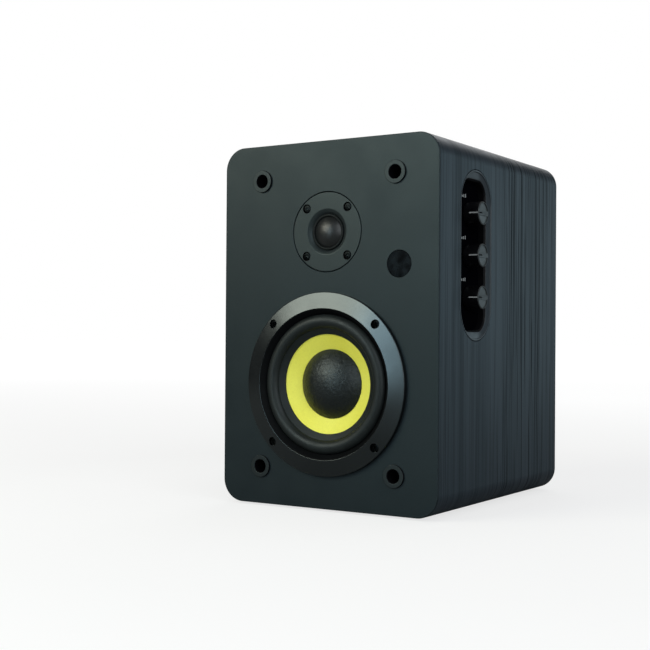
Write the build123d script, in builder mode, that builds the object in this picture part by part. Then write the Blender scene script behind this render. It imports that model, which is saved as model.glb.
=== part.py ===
"""Active two-way bookshelf speaker: wrapped cabinet, woofer, tweeter, side controls and rear amplifier.

Frame: millimetres, +Z up, the baffle faces -Y and the controls face +X. The origin is on the floor, under
the middle of the cabinet. Driver profiles are drawn as (depth behind the baffle's face, radius).
"""

import os
from math import pi, radians, sqrt, tan

from build123d import *

os.makedirs("parts", exist_ok=True)

# ---- cabinet ----
WIDTH = 164.0
HEIGHT = 240.0
DEPTH = 192.0
CORNER = 15.0
WALL = 12.0
FOOT = 1.5
FOOT_RADIUS = 9.0
FOOT_X, FOOT_Y = 52.0, 66.0
FRONT, BACK = -DEPTH / 2, DEPTH / 2
BASE = FOOT
MIDDLE_Z = BASE + HEIGHT / 2
LIP = 1.2
BAFFLE = 15.0
GLUE = 0.15
INNER_CORNER = CORNER - WALL
REAR_PANEL = 11.0
FOAM_DEEP, FOAM_TALL, FOAM_THICK = 120.0, 170.0, 10.0
REAR_INSET = 1.0
REAR_FACE = BACK - REAR_INSET

# ---- screws ----
WOOD_PILOT, SCREW_CLEARANCE, SHANK_RADIUS = 1.55, 1.7, 1.5
TWEETER_PILOT, TWEETER_CLEARANCE, TWEETER_SHANK = 1.35, 1.45, 1.3
SCREW_SEAT_RADIUS, SCREW_SEAT_DEPTH = 2.9, 1.5

# ---- woofer ----
WOOFER_Z = BASE + 81.3
RING_RADIUS = 59.8
RING_EDGE = 3.2
RING_CREST = 5.2
RING_CREST_RADIUS = 49.2
RING_SCREW_SEAT = 1.3
RING_MOUTH = 45.6
WOOFER_SCREW_AT = 39.0
FLANGE_RADIUS = 58.0
FLANGE_FRONT, FLANGE_BACK = 1.8, 3.0
WOOFER_HOLE = 48.5
CONE_RADIUS = 36.2
CONE_EDGE_RADIUS, CONE_EDGE_DEPTH = 32.5, 2.2
CONE_SLOPE = 0.552
CONE_THICK = 0.6
CAP_RADIUS = 22.7
CAP_HEIGHT = 9.0
CAP_THICK = 0.6
ROLL_MIDDLE, ROLL_DEPTH = 41.0, 0.4
ROLL_OUTSIDE, ROLL_INSIDE, ROLL_REACH = 4.7, 3.9, 45.4
ROLL_FOOT_FRONT, ROLL_FOOT_BACK = 36.5, 37.1
SURROUND_LIP = 50.0
RUBBER = 0.7
FORMER_INNER, FORMER_OUTER = 12.6, 12.8
WINDING_OUTER = 13.5
POLE_RADIUS = 12.2
GAP_RADIUS = 13.9
TOP_PLATE_FRONT = 29.0
MAGNET_FRONT = 33.0
BACK_PLATE_FRONT = 46.0
BACK_PLATE_BACK = 50.0
SPIDER_LEDGE = 22.0
BASKET_WINDOWS = 6

# ---- tweeter ----
TWEETER_Z = BASE + 180.4
PLATE_RADIUS = 25.9
PLATE_THICK = 3.0
PLATE_GAP = 0.4
DISH_RADIUS, THROAT_RADIUS, THROAT_DEPTH = 14.8, 12.0, 2.2
TWEETER_HOLE = 19.0
TWEETER_SCREW_AT = 15.6
DOME_RADIUS, DOME_DEPTH, DOME_HEIGHT, DOME_THICK = 10.1, 2.0, 3.9, 0.3
COIL_INNER, COIL_OUTER, COIL_WINDING = 9.75, 9.95, 10.35

# ---- front fittings ----
WINDOW_X, WINDOW_Z, WINDOW_RADIUS = 53.8, BASE + 158.3, 8.6
WINDOW_THICK, WINDOW_HOLE = 2.2, 6.6
SOCKET_X, SOCKET_LOW, SOCKET_HIGH = 51.0, BASE + 25.0, BASE + 216.1
SOCKET_FLANGE, SOCKET_BARREL, SOCKET_BORE = 7.4, 5.5, 4.4
SOCKET_PROUD, SOCKET_LENGTH, SOCKET_DEPTH = 1.3, 13.5, 11.0

# ---- side controls ----
SIDE = WIDTH / 2
CONTROL_Y = FRONT + 52.7
CONTROL_Z = BASE + 165.6
BEZEL_TALL, BEZEL_WIDE = 111.0, 46.8
MOUTH_TALL, MOUTH_WIDE, MOUTH_CORNER = 97.4, 35.2, 10.0
BEZEL_RIM, BEZEL_SLOPE = 0.9, 2.2
PLATE_OUT, PLATE_IN = SIDE - 7.0, SIDE - 9.0
PLATE_MARGIN = 0.9
KNOB_PITCH = 27.3
KNOB_RADIUS, KNOB_FOOT, KNOB_TOP = 7.6, PLATE_OUT + 1.0, SIDE + 5.0
KNOB_BAR = 3.2
KNOB_LOBE = 0.8
SHAFT_RADIUS, SHAFT_FLAT = 3.0, 2.1
SHAFT_BACK, SHAFT_TIP = PLATE_IN - 5.0, KNOB_TOP - 2.5
RUNNING_GAP = 0.05
POT_RADIUS, POT_LENGTH = 8.0, 7.5
BUSH_RADIUS, BUSH_TIP = 3.5, PLATE_OUT + 3.5
NUT_RADIUS, NUT_THICK = 5.6, 2.0
BOARD = 1.6

# ---- rear ----
AMP_WIDE, AMP_TALL, AMP_THICK, AMP_Z = 124.0, 132.0, 2.0, BASE + 80.5
AMP_HOLE_WIDE, AMP_HOLE_TALL = 108.0, 116.0
AMP_FACE = REAR_FACE + AMP_THICK
AMP_SCREW_X, AMP_SCREW_Z = 57.0, 61.0
AMP_HEAD_RADIUS, AMP_HEAD = 3.0, 1.8
PORT_Z, PORT_BORE, PORT_WALL, PORT_LENGTH = BASE + 193.5, 17.0, 2.0, 80.0
PORT_FLARE, PORT_PROUD = 26.0, 2.5
ROCKER_PIVOT_Y = AMP_FACE - 2.5
INLET_X, INLET_Z = 36.0, AMP_Z - 44.0
INLET_WIDE, INLET_TALL, INLET_DEPTH = 27.0, 19.0, 18.0
INLET_PIN_AT, INLET_PIN = 4.3, 1.2
SWITCH_X, SWITCH_Z = 36.0, AMP_Z - 14.0
SWITCH_WIDE, SWITCH_TALL, SWITCH_DEPTH = 15.0, 21.0, 16.0
ROCKER_WIDE, ROCKER_TALL, ROCKER_TILT = 10.4, 16.0, 8.0
ROCKER_VALLEY, ROCKER_PEAK, ROCKER_EDGE, ROCKER_BACK = 4.4, 5.4, 1.6, 2.2
PIN_RADIUS, PIN_GAP = 1.0, 0.06
JACK_X, JACK_UPPER, JACK_LOWER = 36.0, AMP_Z + 44.0, AMP_Z + 22.0
JACK_RADIUS, JACK_NECK, JACK_LENGTH, JACK_BORE = 4.15, 3.9, 9.0, 1.65
CUP_X, CUP_Z, CUP_WIDE, CUP_TALL = -30.0, AMP_Z - 30.0, 44.0, 34.0
CUP_BACK, CUP_RIM = 12.0, 2.0
LEVER_X, LEVER_WIDE, LEVER_TALL, LEVER_THICK, LEVER_GAP = 9.5, 12.0, 16.0, 3.2, 0.5
WIRE_HOLE, WIRE_HOLE_BELOW = 2.1, 10.8

# ---- reference planes and axes ----
WOOFER_AXIS = Axis((0, 0, WOOFER_Z), (0, 1, 0))
TWEETER_AXIS = Axis((0, 0, TWEETER_Z), (0, 1, 0))
PORT_AXIS = Axis((0, 0, PORT_Z), (0, 1, 0))
WOOFER_PROFILE = Plane(origin=(0, FRONT, WOOFER_Z), x_dir=(0, 1, 0), z_dir=(1, 0, 0))
TWEETER_PROFILE = Plane(origin=(0, FRONT, TWEETER_Z), x_dir=(0, 1, 0), z_dir=(1, 0, 0))
PORT_PROFILE = Plane(origin=(0, 0, PORT_Z), x_dir=(0, 1, 0), z_dir=(1, 0, 0))


def facing_front(y, z=0.0, x=0.0):
    """A plane across the depth axis: local x is X, local y is Z, and its normal points forward."""
    return Plane(origin=(x, y, z), x_dir=(1, 0, 0), z_dir=(0, -1, 0))


def facing_side(x, y=0.0, z=0.0):
    """A plane across the width: local x is Y, local y is Z, and its normal points to +X."""
    return Plane(origin=(x, y, z), x_dir=(0, 1, 0), z_dir=(1, 0, 0))


def square(reach):
    """The four corners of a square pattern."""
    return [(reach, reach), (-reach, reach), (-reach, -reach), (reach, -reach)]


def rectangle_corners(x, z, middle=0.0):
    """The four corners of a rectangular pattern about a height."""
    return [(-x, middle - z), (-x, middle + z), (x, middle - z), (x, middle + z)]


def cone_depth(radius):
    """Depth of the woofer cone's front surface at a radius."""
    return CONE_EDGE_DEPTH + CONE_SLOPE * (CONE_EDGE_RADIUS - radius)


def cap_points(apex, rim_depth, rim_radius):
    """Three points of a spherical cap's section, from its rim over the middle to its apex on the axis."""
    height = rim_depth - apex
    sphere = (rim_radius**2 + height**2) / (2 * height)
    middle = rim_radius / 2
    return (rim_depth, rim_radius), (apex + sphere - sqrt(sphere**2 - middle**2), middle), (apex, 0)


def finish(builder, name):
    """Labels a finished piece and writes its file."""
    builder.part.label = name
    export_step(builder.part, f"parts/{name}.step")


def turned(profile_plane, axis, outline):
    """A turned piece from a closed outline of straight lines, as (depth, radius) points."""
    with BuildPart() as piece:
        with BuildSketch(profile_plane):
            with BuildLine():
                Polyline(*outline, close=True)
            make_face()
        revolve(axis=axis)
    return piece


SOCKET_SPOTS = rectangle_corners(SOCKET_X, (SOCKET_HIGH - SOCKET_LOW) / 2, (SOCKET_HIGH + SOCKET_LOW) / 2)
AMP_SCREW_SPOTS = rectangle_corners(AMP_SCREW_X, AMP_SCREW_Z, AMP_Z)

# ================= cabinet =================
with BuildPart() as cabinet_shell:
    with BuildSketch(facing_front(BACK, MIDDLE_Z)):
        RectangleRounded(WIDTH, HEIGHT, CORNER)
        RectangleRounded(WIDTH - 2 * WALL, HEIGHT - 2 * WALL, INNER_CORNER, mode=Mode.SUBTRACT)
    extrude(amount=DEPTH - LIP)
    with BuildSketch(facing_side(SIDE - WALL - 1)):
        with Locations((CONTROL_Y, CONTROL_Z)):
            SlotOverall(BEZEL_TALL + 2 * GLUE, BEZEL_WIDE + 2 * GLUE, rotation=90)
    extrude(amount=WALL + 2, mode=Mode.SUBTRACT)
finish(cabinet_shell, "cabinet_shell")

with BuildPart() as front_baffle:
    with BuildSketch(facing_front(FRONT + LIP, MIDDLE_Z)):
        RectangleRounded(WIDTH, HEIGHT, CORNER)
    extrude(amount=LIP)
    with BuildSketch(facing_front(FRONT + BAFFLE, MIDDLE_Z)):
        RectangleRounded(WIDTH - 2 * WALL - 2 * GLUE, HEIGHT - 2 * WALL - 2 * GLUE, INNER_CORNER)
    extrude(amount=BAFFLE - LIP)
    # openings for the drivers, each with a rebate for its flange
    for height, rebate, rebate_depth, hole in (
        (WOOFER_Z, FLANGE_RADIUS + 0.4, FLANGE_BACK, WOOFER_HOLE),
        (TWEETER_Z, PLATE_RADIUS + PLATE_GAP, PLATE_THICK, TWEETER_HOLE),
    ):
        with BuildSketch(facing_front(FRONT + rebate_depth, height)):
            Circle(rebate)
        extrude(amount=rebate_depth, mode=Mode.SUBTRACT)
        with BuildSketch(facing_front(FRONT + BAFFLE, height)):
            Circle(hole)
        extrude(amount=BAFFLE, mode=Mode.SUBTRACT)
    # pilot holes for the driver screws
    for height, reach, pilot in (
        (WOOFER_Z, WOOFER_SCREW_AT, WOOD_PILOT),
        (TWEETER_Z, TWEETER_SCREW_AT, TWEETER_PILOT),
    ):
        with BuildSketch(facing_front(FRONT + BAFFLE, height)):
            with Locations(*square(reach)):
                Circle(pilot)
        extrude(amount=BAFFLE, mode=Mode.SUBTRACT)
    # receiver window and grille sockets
    with BuildSketch(facing_front(FRONT + WINDOW_THICK)):
        with Locations((WINDOW_X, WINDOW_Z)):
            Circle(WINDOW_RADIUS + 0.2)
    extrude(amount=WINDOW_THICK, mode=Mode.SUBTRACT)
    with BuildSketch(facing_front(FRONT + BAFFLE)):
        with Locations((WINDOW_X, WINDOW_Z)):
            Circle(WINDOW_HOLE)
        with Locations(*SOCKET_SPOTS):
            Circle(SOCKET_BARREL + 0.1)
    extrude(amount=BAFFLE, mode=Mode.SUBTRACT)
finish(front_baffle, "front_baffle")

with BuildPart() as rear_panel:
    with BuildSketch(facing_front(REAR_FACE, MIDDLE_Z)):
        RectangleRounded(WIDTH - 2 * WALL - 2 * GLUE, HEIGHT - 2 * WALL - 2 * GLUE, INNER_CORNER)
    extrude(amount=REAR_PANEL)
    with BuildSketch(facing_front(REAR_FACE)):
        with Locations((0, AMP_Z)):
            RectangleRounded(AMP_HOLE_WIDE, AMP_HOLE_TALL, 4)
        with Locations((0, PORT_Z)):
            Circle(PORT_BORE + PORT_WALL + 0.2)
        with Locations(*AMP_SCREW_SPOTS):
            Circle(WOOD_PILOT)
    extrude(amount=REAR_PANEL, mode=Mode.SUBTRACT)
finish(rear_panel, "rear_panel")

with BuildPart() as rubber_feet:
    with BuildSketch(Plane.XY):
        with Locations(*rectangle_corners(FOOT_X, FOOT_Y)):
            Circle(FOOT_RADIUS)
    extrude(amount=FOOT)
    chamfer(rubber_feet.edges().group_by(Axis.Z)[0], 0.4)
finish(rubber_feet, "rubber_feet")

with BuildPart() as damping_foam:
    with BuildSketch(facing_side(-SIDE + WALL)):
        with Locations((4, MIDDLE_Z + 4)):
            RectangleRounded(FOAM_DEEP, FOAM_TALL, 6)
    extrude(amount=FOAM_THICK)
finish(damping_foam, "damping_foam")

# ================= front fittings =================
with BuildPart() as grille_sockets:
    with BuildSketch(facing_front(FRONT)):
        with Locations(*SOCKET_SPOTS):
            Circle(SOCKET_FLANGE)
    extrude(amount=SOCKET_PROUD)
    fillet(grille_sockets.edges().group_by(Axis.Y)[0], 0.5)
    with BuildSketch(facing_front(FRONT + SOCKET_LENGTH)):
        with Locations(*SOCKET_SPOTS):
            Circle(SOCKET_BARREL)
    extrude(amount=SOCKET_LENGTH)
    with BuildSketch(facing_front(FRONT + SOCKET_DEPTH)):
        with Locations(*SOCKET_SPOTS):
            Circle(SOCKET_BORE)
    extrude(amount=SOCKET_DEPTH + SOCKET_PROUD, mode=Mode.SUBTRACT)
finish(grille_sockets, "grille_sockets")

with BuildPart() as ir_window:
    with BuildSketch(facing_front(FRONT + WINDOW_THICK)):
        with Locations((WINDOW_X, WINDOW_Z)):
            Circle(WINDOW_RADIUS)
    extrude(amount=WINDOW_THICK)
    chamfer(ir_window.edges().group_by(Axis.Y)[0], 0.3)
finish(ir_window, "ir_window")

with BuildPart() as ir_receiver_board:
    with BuildSketch(facing_front(FRONT + BAFFLE + BOARD)):
        with Locations((WINDOW_X, WINDOW_Z)):
            RectangleRounded(22, 16, 1)
    extrude(amount=BOARD)
    with BuildSketch(facing_front(FRONT + BAFFLE)):
        with Locations((WINDOW_X, WINDOW_Z)):
            Rectangle(6, 7)
    extrude(amount=4)
    with BuildSketch(facing_front(FRONT + BAFFLE - 4)):
        with Locations((WINDOW_X, WINDOW_Z)):
            Circle(2.5)
    extrude(amount=1.8)
finish(ir_receiver_board, "ir_receiver_board")

# ================= woofer =================
with BuildPart() as woofer_trim_ring:
    with BuildSketch(WOOFER_PROFILE):
        with BuildLine():
            Polyline(
                (-1.2, RING_MOUTH),
                (0, RING_MOUTH),
                (0, RING_RADIUS),
                (-RING_EDGE, RING_RADIUS),
                (-RING_CREST, RING_CREST_RADIUS),
                (-RING_CREST + 0.5, RING_CREST_RADIUS - 0.8),
                close=True,
            )
        make_face()
    revolve(axis=WOOFER_AXIS)
    with BuildSketch(facing_front(FRONT, WOOFER_Z)):
        with Locations(*square(WOOFER_SCREW_AT)):
            Circle(SCREW_CLEARANCE)
    extrude(amount=RING_CREST, mode=Mode.SUBTRACT)
    with BuildSketch(facing_front(FRONT - RING_SCREW_SEAT, WOOFER_Z)):
        with Locations(*square(WOOFER_SCREW_AT)):
            Circle(3.0)
    extrude(amount=RING_CREST, mode=Mode.SUBTRACT)
finish(woofer_trim_ring, "woofer_trim_ring")

woofer_gasket = turned(
    WOOFER_PROFILE,
    WOOFER_AXIS,
    [
        (0, 46.5),
        (0, 57.4),
        (FLANGE_FRONT, 57.4),
        (FLANGE_FRONT, SURROUND_LIP + 0.3),
        (FLANGE_FRONT - RUBBER - 0.1, SURROUND_LIP + 0.3),
        (FLANGE_FRONT - RUBBER - 0.1, 46.5),
    ],
)
with BuildPart(mode=Mode.PRIVATE) as gasket_holes:
    with BuildSketch(facing_front(FRONT + FLANGE_FRONT, WOOFER_Z)):
        with Locations(*square(WOOFER_SCREW_AT)):
            Circle(SCREW_CLEARANCE)
    extrude(amount=FLANGE_FRONT)
woofer_gasket.part = woofer_gasket.part - gasket_holes.part
finish(woofer_gasket, "woofer_gasket")

with BuildPart() as woofer_basket:
    with BuildSketch(WOOFER_PROFILE):
        with BuildLine():
            Polyline(
                (FLANGE_FRONT, 44.6),
                (FLANGE_FRONT, FLANGE_RADIUS),
                (FLANGE_BACK, FLANGE_RADIUS),
                (FLANGE_BACK, 47.9),
                (SPIDER_LEDGE + 1.2, 39.5),
                (SPIDER_LEDGE + 1.2, 32.5),
                (TOP_PLATE_FRONT, 30.5),
                (TOP_PLATE_FRONT, 17.0),
                (TOP_PLATE_FRONT - 1.2, 17.0),
                (TOP_PLATE_FRONT - 1.2, 29.5),
                (SPIDER_LEDGE, 31.5),
                (SPIDER_LEDGE, 38.5),
                (FLANGE_BACK, 46.6),
                (FLANGE_BACK, 44.6),
                close=True,
            )
        make_face()
    revolve(axis=WOOFER_AXIS)
    with BuildSketch(facing_front(FRONT + SPIDER_LEDGE - 0.6, WOOFER_Z)):
        with PolarLocations(42.5, BASKET_WINDOWS, start_angle=30):
            Rectangle(11, 30)
    extrude(amount=SPIDER_LEDGE - FLANGE_BACK - 2.0, mode=Mode.SUBTRACT)
    with BuildSketch(facing_front(FRONT + FLANGE_BACK, WOOFER_Z)):
        with Locations(*square(WOOFER_SCREW_AT)):
            Circle(SCREW_CLEARANCE)
    extrude(amount=FLANGE_BACK - FLANGE_FRONT, mode=Mode.SUBTRACT)
finish(woofer_basket, "woofer_basket")

with BuildPart() as woofer_surround:
    # a half roll of rubber: a wall down to a flat lip on the basket, and a sloping lip on the cone
    lip_front = FLANGE_FRONT - RUBBER
    wall = ROLL_REACH - ROLL_MIDDLE
    shoulder = ROLL_DEPTH - sqrt(ROLL_OUTSIDE**2 - wall**2)
    outer_foot_back = ROLL_MIDDLE + sqrt(ROLL_INSIDE**2 - (FLANGE_FRONT - ROLL_DEPTH) ** 2)
    inner_foot_back = ROLL_MIDDLE - sqrt(ROLL_INSIDE**2 - (cone_depth(ROLL_FOOT_BACK) - ROLL_DEPTH) ** 2)
    foot_front = cone_depth(ROLL_FOOT_FRONT) - RUBBER
    inner_foot_front = ROLL_MIDDLE - sqrt(ROLL_OUTSIDE**2 - (foot_front - ROLL_DEPTH) ** 2)
    lip_edge = (cone_depth(CONE_EDGE_RADIUS) - RUBBER, CONE_EDGE_RADIUS)
    lip_back = (cone_depth(CONE_EDGE_RADIUS) - 0.05, CONE_EDGE_RADIUS)
    with BuildSketch(WOOFER_PROFILE):
        with BuildLine():
            Polyline(
                (FLANGE_FRONT, outer_foot_back),
                (FLANGE_FRONT, SURROUND_LIP),
                (lip_front, SURROUND_LIP),
                (lip_front, ROLL_REACH),
                (shoulder, ROLL_REACH),
            )
            ThreePointArc(
                (shoulder, ROLL_REACH),
                (ROLL_DEPTH - ROLL_OUTSIDE, ROLL_MIDDLE),
                (foot_front, inner_foot_front),
            )
            Polyline(
                (foot_front, inner_foot_front),
                lip_edge,
                lip_back,
                (cone_depth(ROLL_FOOT_BACK), inner_foot_back),
            )
            ThreePointArc(
                (cone_depth(ROLL_FOOT_BACK), inner_foot_back),
                (ROLL_DEPTH - ROLL_INSIDE, ROLL_MIDDLE),
                (FLANGE_FRONT, outer_foot_back),
            )
        make_face()
    revolve(axis=WOOFER_AXIS)
finish(woofer_surround, "woofer_surround")

neck = FORMER_OUTER + 0.05
woofer_cone = turned(
    WOOFER_PROFILE,
    WOOFER_AXIS,
    [
        (cone_depth(CONE_RADIUS) + 0.05, CONE_RADIUS),
        (cone_depth(CONE_RADIUS) + 0.05 + CONE_THICK, CONE_RADIUS),
        (cone_depth(neck) + 0.05 + CONE_THICK, neck),
        (cone_depth(neck) + 0.05, neck),
    ],
)
finish(woofer_cone, "woofer_cone")

with BuildPart() as woofer_dust_cap:
    rim = cone_depth(CAP_RADIUS)
    apex = rim - CAP_HEIGHT
    with BuildSketch(WOOFER_PROFILE):
        with BuildLine():
            ThreePointArc(*cap_points(apex, rim - 0.5, CAP_RADIUS))
            Line((apex, 0), (apex + CAP_THICK, 0))
            ThreePointArc(*cap_points(apex + CAP_THICK, rim - 0.1, CAP_RADIUS - 0.9))
            Polyline((rim - 0.1, CAP_RADIUS - 0.9), (rim - 0.1, CAP_RADIUS), (rim - 0.5, CAP_RADIUS))
        make_face()
    revolve(axis=WOOFER_AXIS)
finish(woofer_dust_cap, "woofer_dust_cap")

woofer_coil_former = turned(
    WOOFER_PROFILE,
    WOOFER_AXIS,
    [(10.5, FORMER_INNER), (10.5, FORMER_OUTER), (35.6, FORMER_OUTER), (35.6, FORMER_INNER)],
)
finish(woofer_coil_former, "woofer_coil_former")

woofer_coil_winding = turned(
    WOOFER_PROFILE,
    WOOFER_AXIS,
    [(27, FORMER_OUTER), (27, WINDING_OUTER), (35, WINDING_OUTER), (35, FORMER_OUTER)],
)
finish(woofer_coil_winding, "woofer_coil_winding")

with BuildPart() as woofer_spider:
    # a corrugated cloth ring, from the former out to the basket's ledge
    waves, wave_height, cloth = 5, 1.1, 0.4
    first, last, rim = 14.2, 31.2, 38.2
    step = (last - first) / (2 * waves)
    middle = SPIDER_LEDGE - cloth
    crests = [(middle + wave_height * (-1) ** n, first + step * n) for n in range(1, 2 * waves)]
    front_side = [(middle, neck), (middle, first), *crests, (middle, last), (middle, rim)]
    back_side = [(d + cloth, r) for d, r in reversed(front_side)]
    with BuildSketch(WOOFER_PROFILE):
        with BuildLine():
            Polyline(*front_side, *back_side, close=True)
        make_face()
    revolve(axis=WOOFER_AXIS)
finish(woofer_spider, "woofer_spider")

woofer_top_plate = turned(
    WOOFER_PROFILE,
    WOOFER_AXIS,
    [(TOP_PLATE_FRONT, GAP_RADIUS), (TOP_PLATE_FRONT, 30), (MAGNET_FRONT, 30), (MAGNET_FRONT, GAP_RADIUS)],
)
finish(woofer_top_plate, "woofer_top_plate")

woofer_magnet = turned(
    WOOFER_PROFILE,
    WOOFER_AXIS,
    [(MAGNET_FRONT, 16), (MAGNET_FRONT, 35), (BACK_PLATE_FRONT, 35), (BACK_PLATE_FRONT, 16)],
)
finish(woofer_magnet, "woofer_magnet")

woofer_yoke = turned(
    WOOFER_PROFILE,
    WOOFER_AXIS,
    [
        (TOP_PLATE_FRONT, 4),
        (TOP_PLATE_FRONT, POLE_RADIUS),
        (BACK_PLATE_FRONT, POLE_RADIUS),
        (BACK_PLATE_FRONT, 30),
        (BACK_PLATE_BACK, 30),
        (BACK_PLATE_BACK, 4),
    ],
)
finish(woofer_yoke, "woofer_yoke")


def driver_screws(height, reach, head_front, head_thick, head_radius, shank_radius, length):
    """Four pan-head screws with cross recesses, heads forward, on a square pattern."""
    with BuildPart() as screws:
        with BuildSketch(facing_front(FRONT + head_front + head_thick, height)):
            with Locations(*square(reach)):
                Circle(head_radius)
        extrude(amount=head_thick)
        fillet(screws.edges().group_by(Axis.Y)[0], head_thick * 0.45)
        with BuildSketch(facing_front(FRONT + head_front + length, height)):
            with Locations(*square(reach)):
                Circle(shank_radius)
        extrude(amount=length - head_thick)
        with BuildSketch(facing_front(FRONT + head_front + head_thick * 0.6, height)):
            with Locations(*square(reach)):
                Rectangle(head_radius * 1.1, head_radius * 0.24)
                Rectangle(head_radius * 0.24, head_radius * 1.1)
        extrude(amount=head_thick, mode=Mode.SUBTRACT)
    return screws


woofer_screws = driver_screws(WOOFER_Z, WOOFER_SCREW_AT, -RING_SCREW_SEAT - 1.5, 1.5, 2.7, SHANK_RADIUS, 16)
finish(woofer_screws, "woofer_screws")

# ================= tweeter =================
with BuildPart() as tweeter_faceplate:
    with BuildSketch(TWEETER_PROFILE):
        with BuildLine():
            Line((0, DISH_RADIUS), (0, PLATE_RADIUS))
            Line((0, PLATE_RADIUS), (PLATE_THICK, PLATE_RADIUS))
            Line((PLATE_THICK, PLATE_RADIUS), (PLATE_THICK, 18.5))
            Line((PLATE_THICK, 18.5), (4.2, 18.5))
            Line((4.2, 18.5), (4.2, 15.2))
            Line((4.2, 15.2), (THROAT_DEPTH + 0.3, 15.2))
            Line((THROAT_DEPTH + 0.3, 15.2), (THROAT_DEPTH + 0.3, THROAT_RADIUS))
            Line((THROAT_DEPTH + 0.3, THROAT_RADIUS), (THROAT_DEPTH, THROAT_RADIUS))
            ThreePointArc((THROAT_DEPTH, THROAT_RADIUS), (0.95, 13.2), (0, DISH_RADIUS))
        make_face()
    revolve(axis=TWEETER_AXIS)
    with BuildSketch(facing_front(FRONT + PLATE_THICK, TWEETER_Z)):
        with Locations(*square(TWEETER_SCREW_AT)):
            Circle(TWEETER_CLEARANCE)
    extrude(amount=PLATE_THICK, mode=Mode.SUBTRACT)
    with BuildSketch(facing_front(FRONT + SCREW_SEAT_DEPTH, TWEETER_Z)):
        with Locations(*square(TWEETER_SCREW_AT)):
            Circle(SCREW_SEAT_RADIUS)
    extrude(amount=SCREW_SEAT_DEPTH, mode=Mode.SUBTRACT)
finish(tweeter_faceplate, "tweeter_faceplate")

tweeter_screws = driver_screws(TWEETER_Z, TWEETER_SCREW_AT, 0.4, 1.1, 2.5, TWEETER_SHANK, 12)
finish(tweeter_screws, "tweeter_screws")

with BuildPart() as tweeter_dome:
    apex = DOME_DEPTH - DOME_HEIGHT
    base = DOME_DEPTH + DOME_THICK
    inner_rim = DOME_RADIUS - 0.45
    with BuildSketch(TWEETER_PROFILE):
        with BuildLine():
            ThreePointArc(*cap_points(apex, DOME_DEPTH, DOME_RADIUS))
            Line((apex, 0), (apex + DOME_THICK, 0))
            ThreePointArc(*cap_points(apex + DOME_THICK, DOME_DEPTH, inner_rim))
            Polyline(
                (DOME_DEPTH, inner_rim), (base, inner_rim), (base, DOME_RADIUS), (DOME_DEPTH, DOME_RADIUS)
            )
        make_face()
    revolve(axis=TWEETER_AXIS)
finish(tweeter_dome, "tweeter_dome")

with BuildPart() as tweeter_surround:
    roll_middle, roll_outside, roll_inside = 11.0, 0.88, 0.63
    with BuildSketch(TWEETER_PROFILE):
        with BuildLine():
            Line((2.0, roll_middle - roll_outside), (2.3, roll_middle - roll_outside))
            Line((2.3, roll_middle - roll_outside), (2.3, roll_middle - roll_inside))
            Line((2.3, roll_middle - roll_inside), (2.0, roll_middle - roll_inside))
            ThreePointArc(
                (2.0, roll_middle - roll_inside),
                (2.0 - roll_inside, roll_middle),
                (2.0, roll_middle + roll_inside),
            )
            Line((2.0, roll_middle + roll_inside), (2.8, roll_middle + roll_inside))
            Line((2.8, roll_middle + roll_inside), (2.8, 14.8))
            Line((2.8, 14.8), (2.55, 14.8))
            Line((2.55, 14.8), (2.55, roll_middle + roll_outside))
            Line((2.55, roll_middle + roll_outside), (2.0, roll_middle + roll_outside))
            ThreePointArc(
                (2.0, roll_middle + roll_outside),
                (2.0 - roll_outside, roll_middle),
                (2.0, roll_middle - roll_outside),
            )
        make_face()
    revolve(axis=TWEETER_AXIS)
finish(tweeter_surround, "tweeter_surround")

tweeter_voice_coil = turned(
    TWEETER_PROFILE,
    TWEETER_AXIS,
    [
        (DOME_DEPTH + DOME_THICK, COIL_INNER),
        (DOME_DEPTH + DOME_THICK, COIL_OUTER),
        (4.7, COIL_OUTER),
        (4.7, COIL_WINDING),
        (6.4, COIL_WINDING),
        (6.4, COIL_OUTER),
        (7.2, COIL_OUTER),
        (7.2, COIL_INNER),
    ],
)
finish(tweeter_voice_coil, "tweeter_voice_coil")

tweeter_top_plate = turned(
    TWEETER_PROFILE, TWEETER_AXIS, [(4.2, 10.75), (4.2, 18.5), (6.7, 18.5), (6.7, 10.75)]
)
finish(tweeter_top_plate, "tweeter_top_plate")

tweeter_magnet = turned(
    TWEETER_PROFILE, TWEETER_AXIS, [(6.7, 12), (6.7, 17.6), (14.7, 17.6), (14.7, 12)]
)
finish(tweeter_magnet, "tweeter_magnet")

tweeter_yoke = turned(
    TWEETER_PROFILE,
    TWEETER_AXIS,
    [(4.2, 2), (4.2, 9.35), (14.7, 9.35), (14.7, 18.5), (17.7, 18.5), (17.7, 2)],
)
finish(tweeter_yoke, "tweeter_yoke")

# ================= side controls =================
def mouth_outline(margin=0.0):
    """The recess's mouth, or an opening wider than it by a margin all round."""
    return RectangleRounded(MOUTH_WIDE + 2 * margin, MOUTH_TALL + 2 * margin, MOUTH_CORNER + margin)


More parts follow.
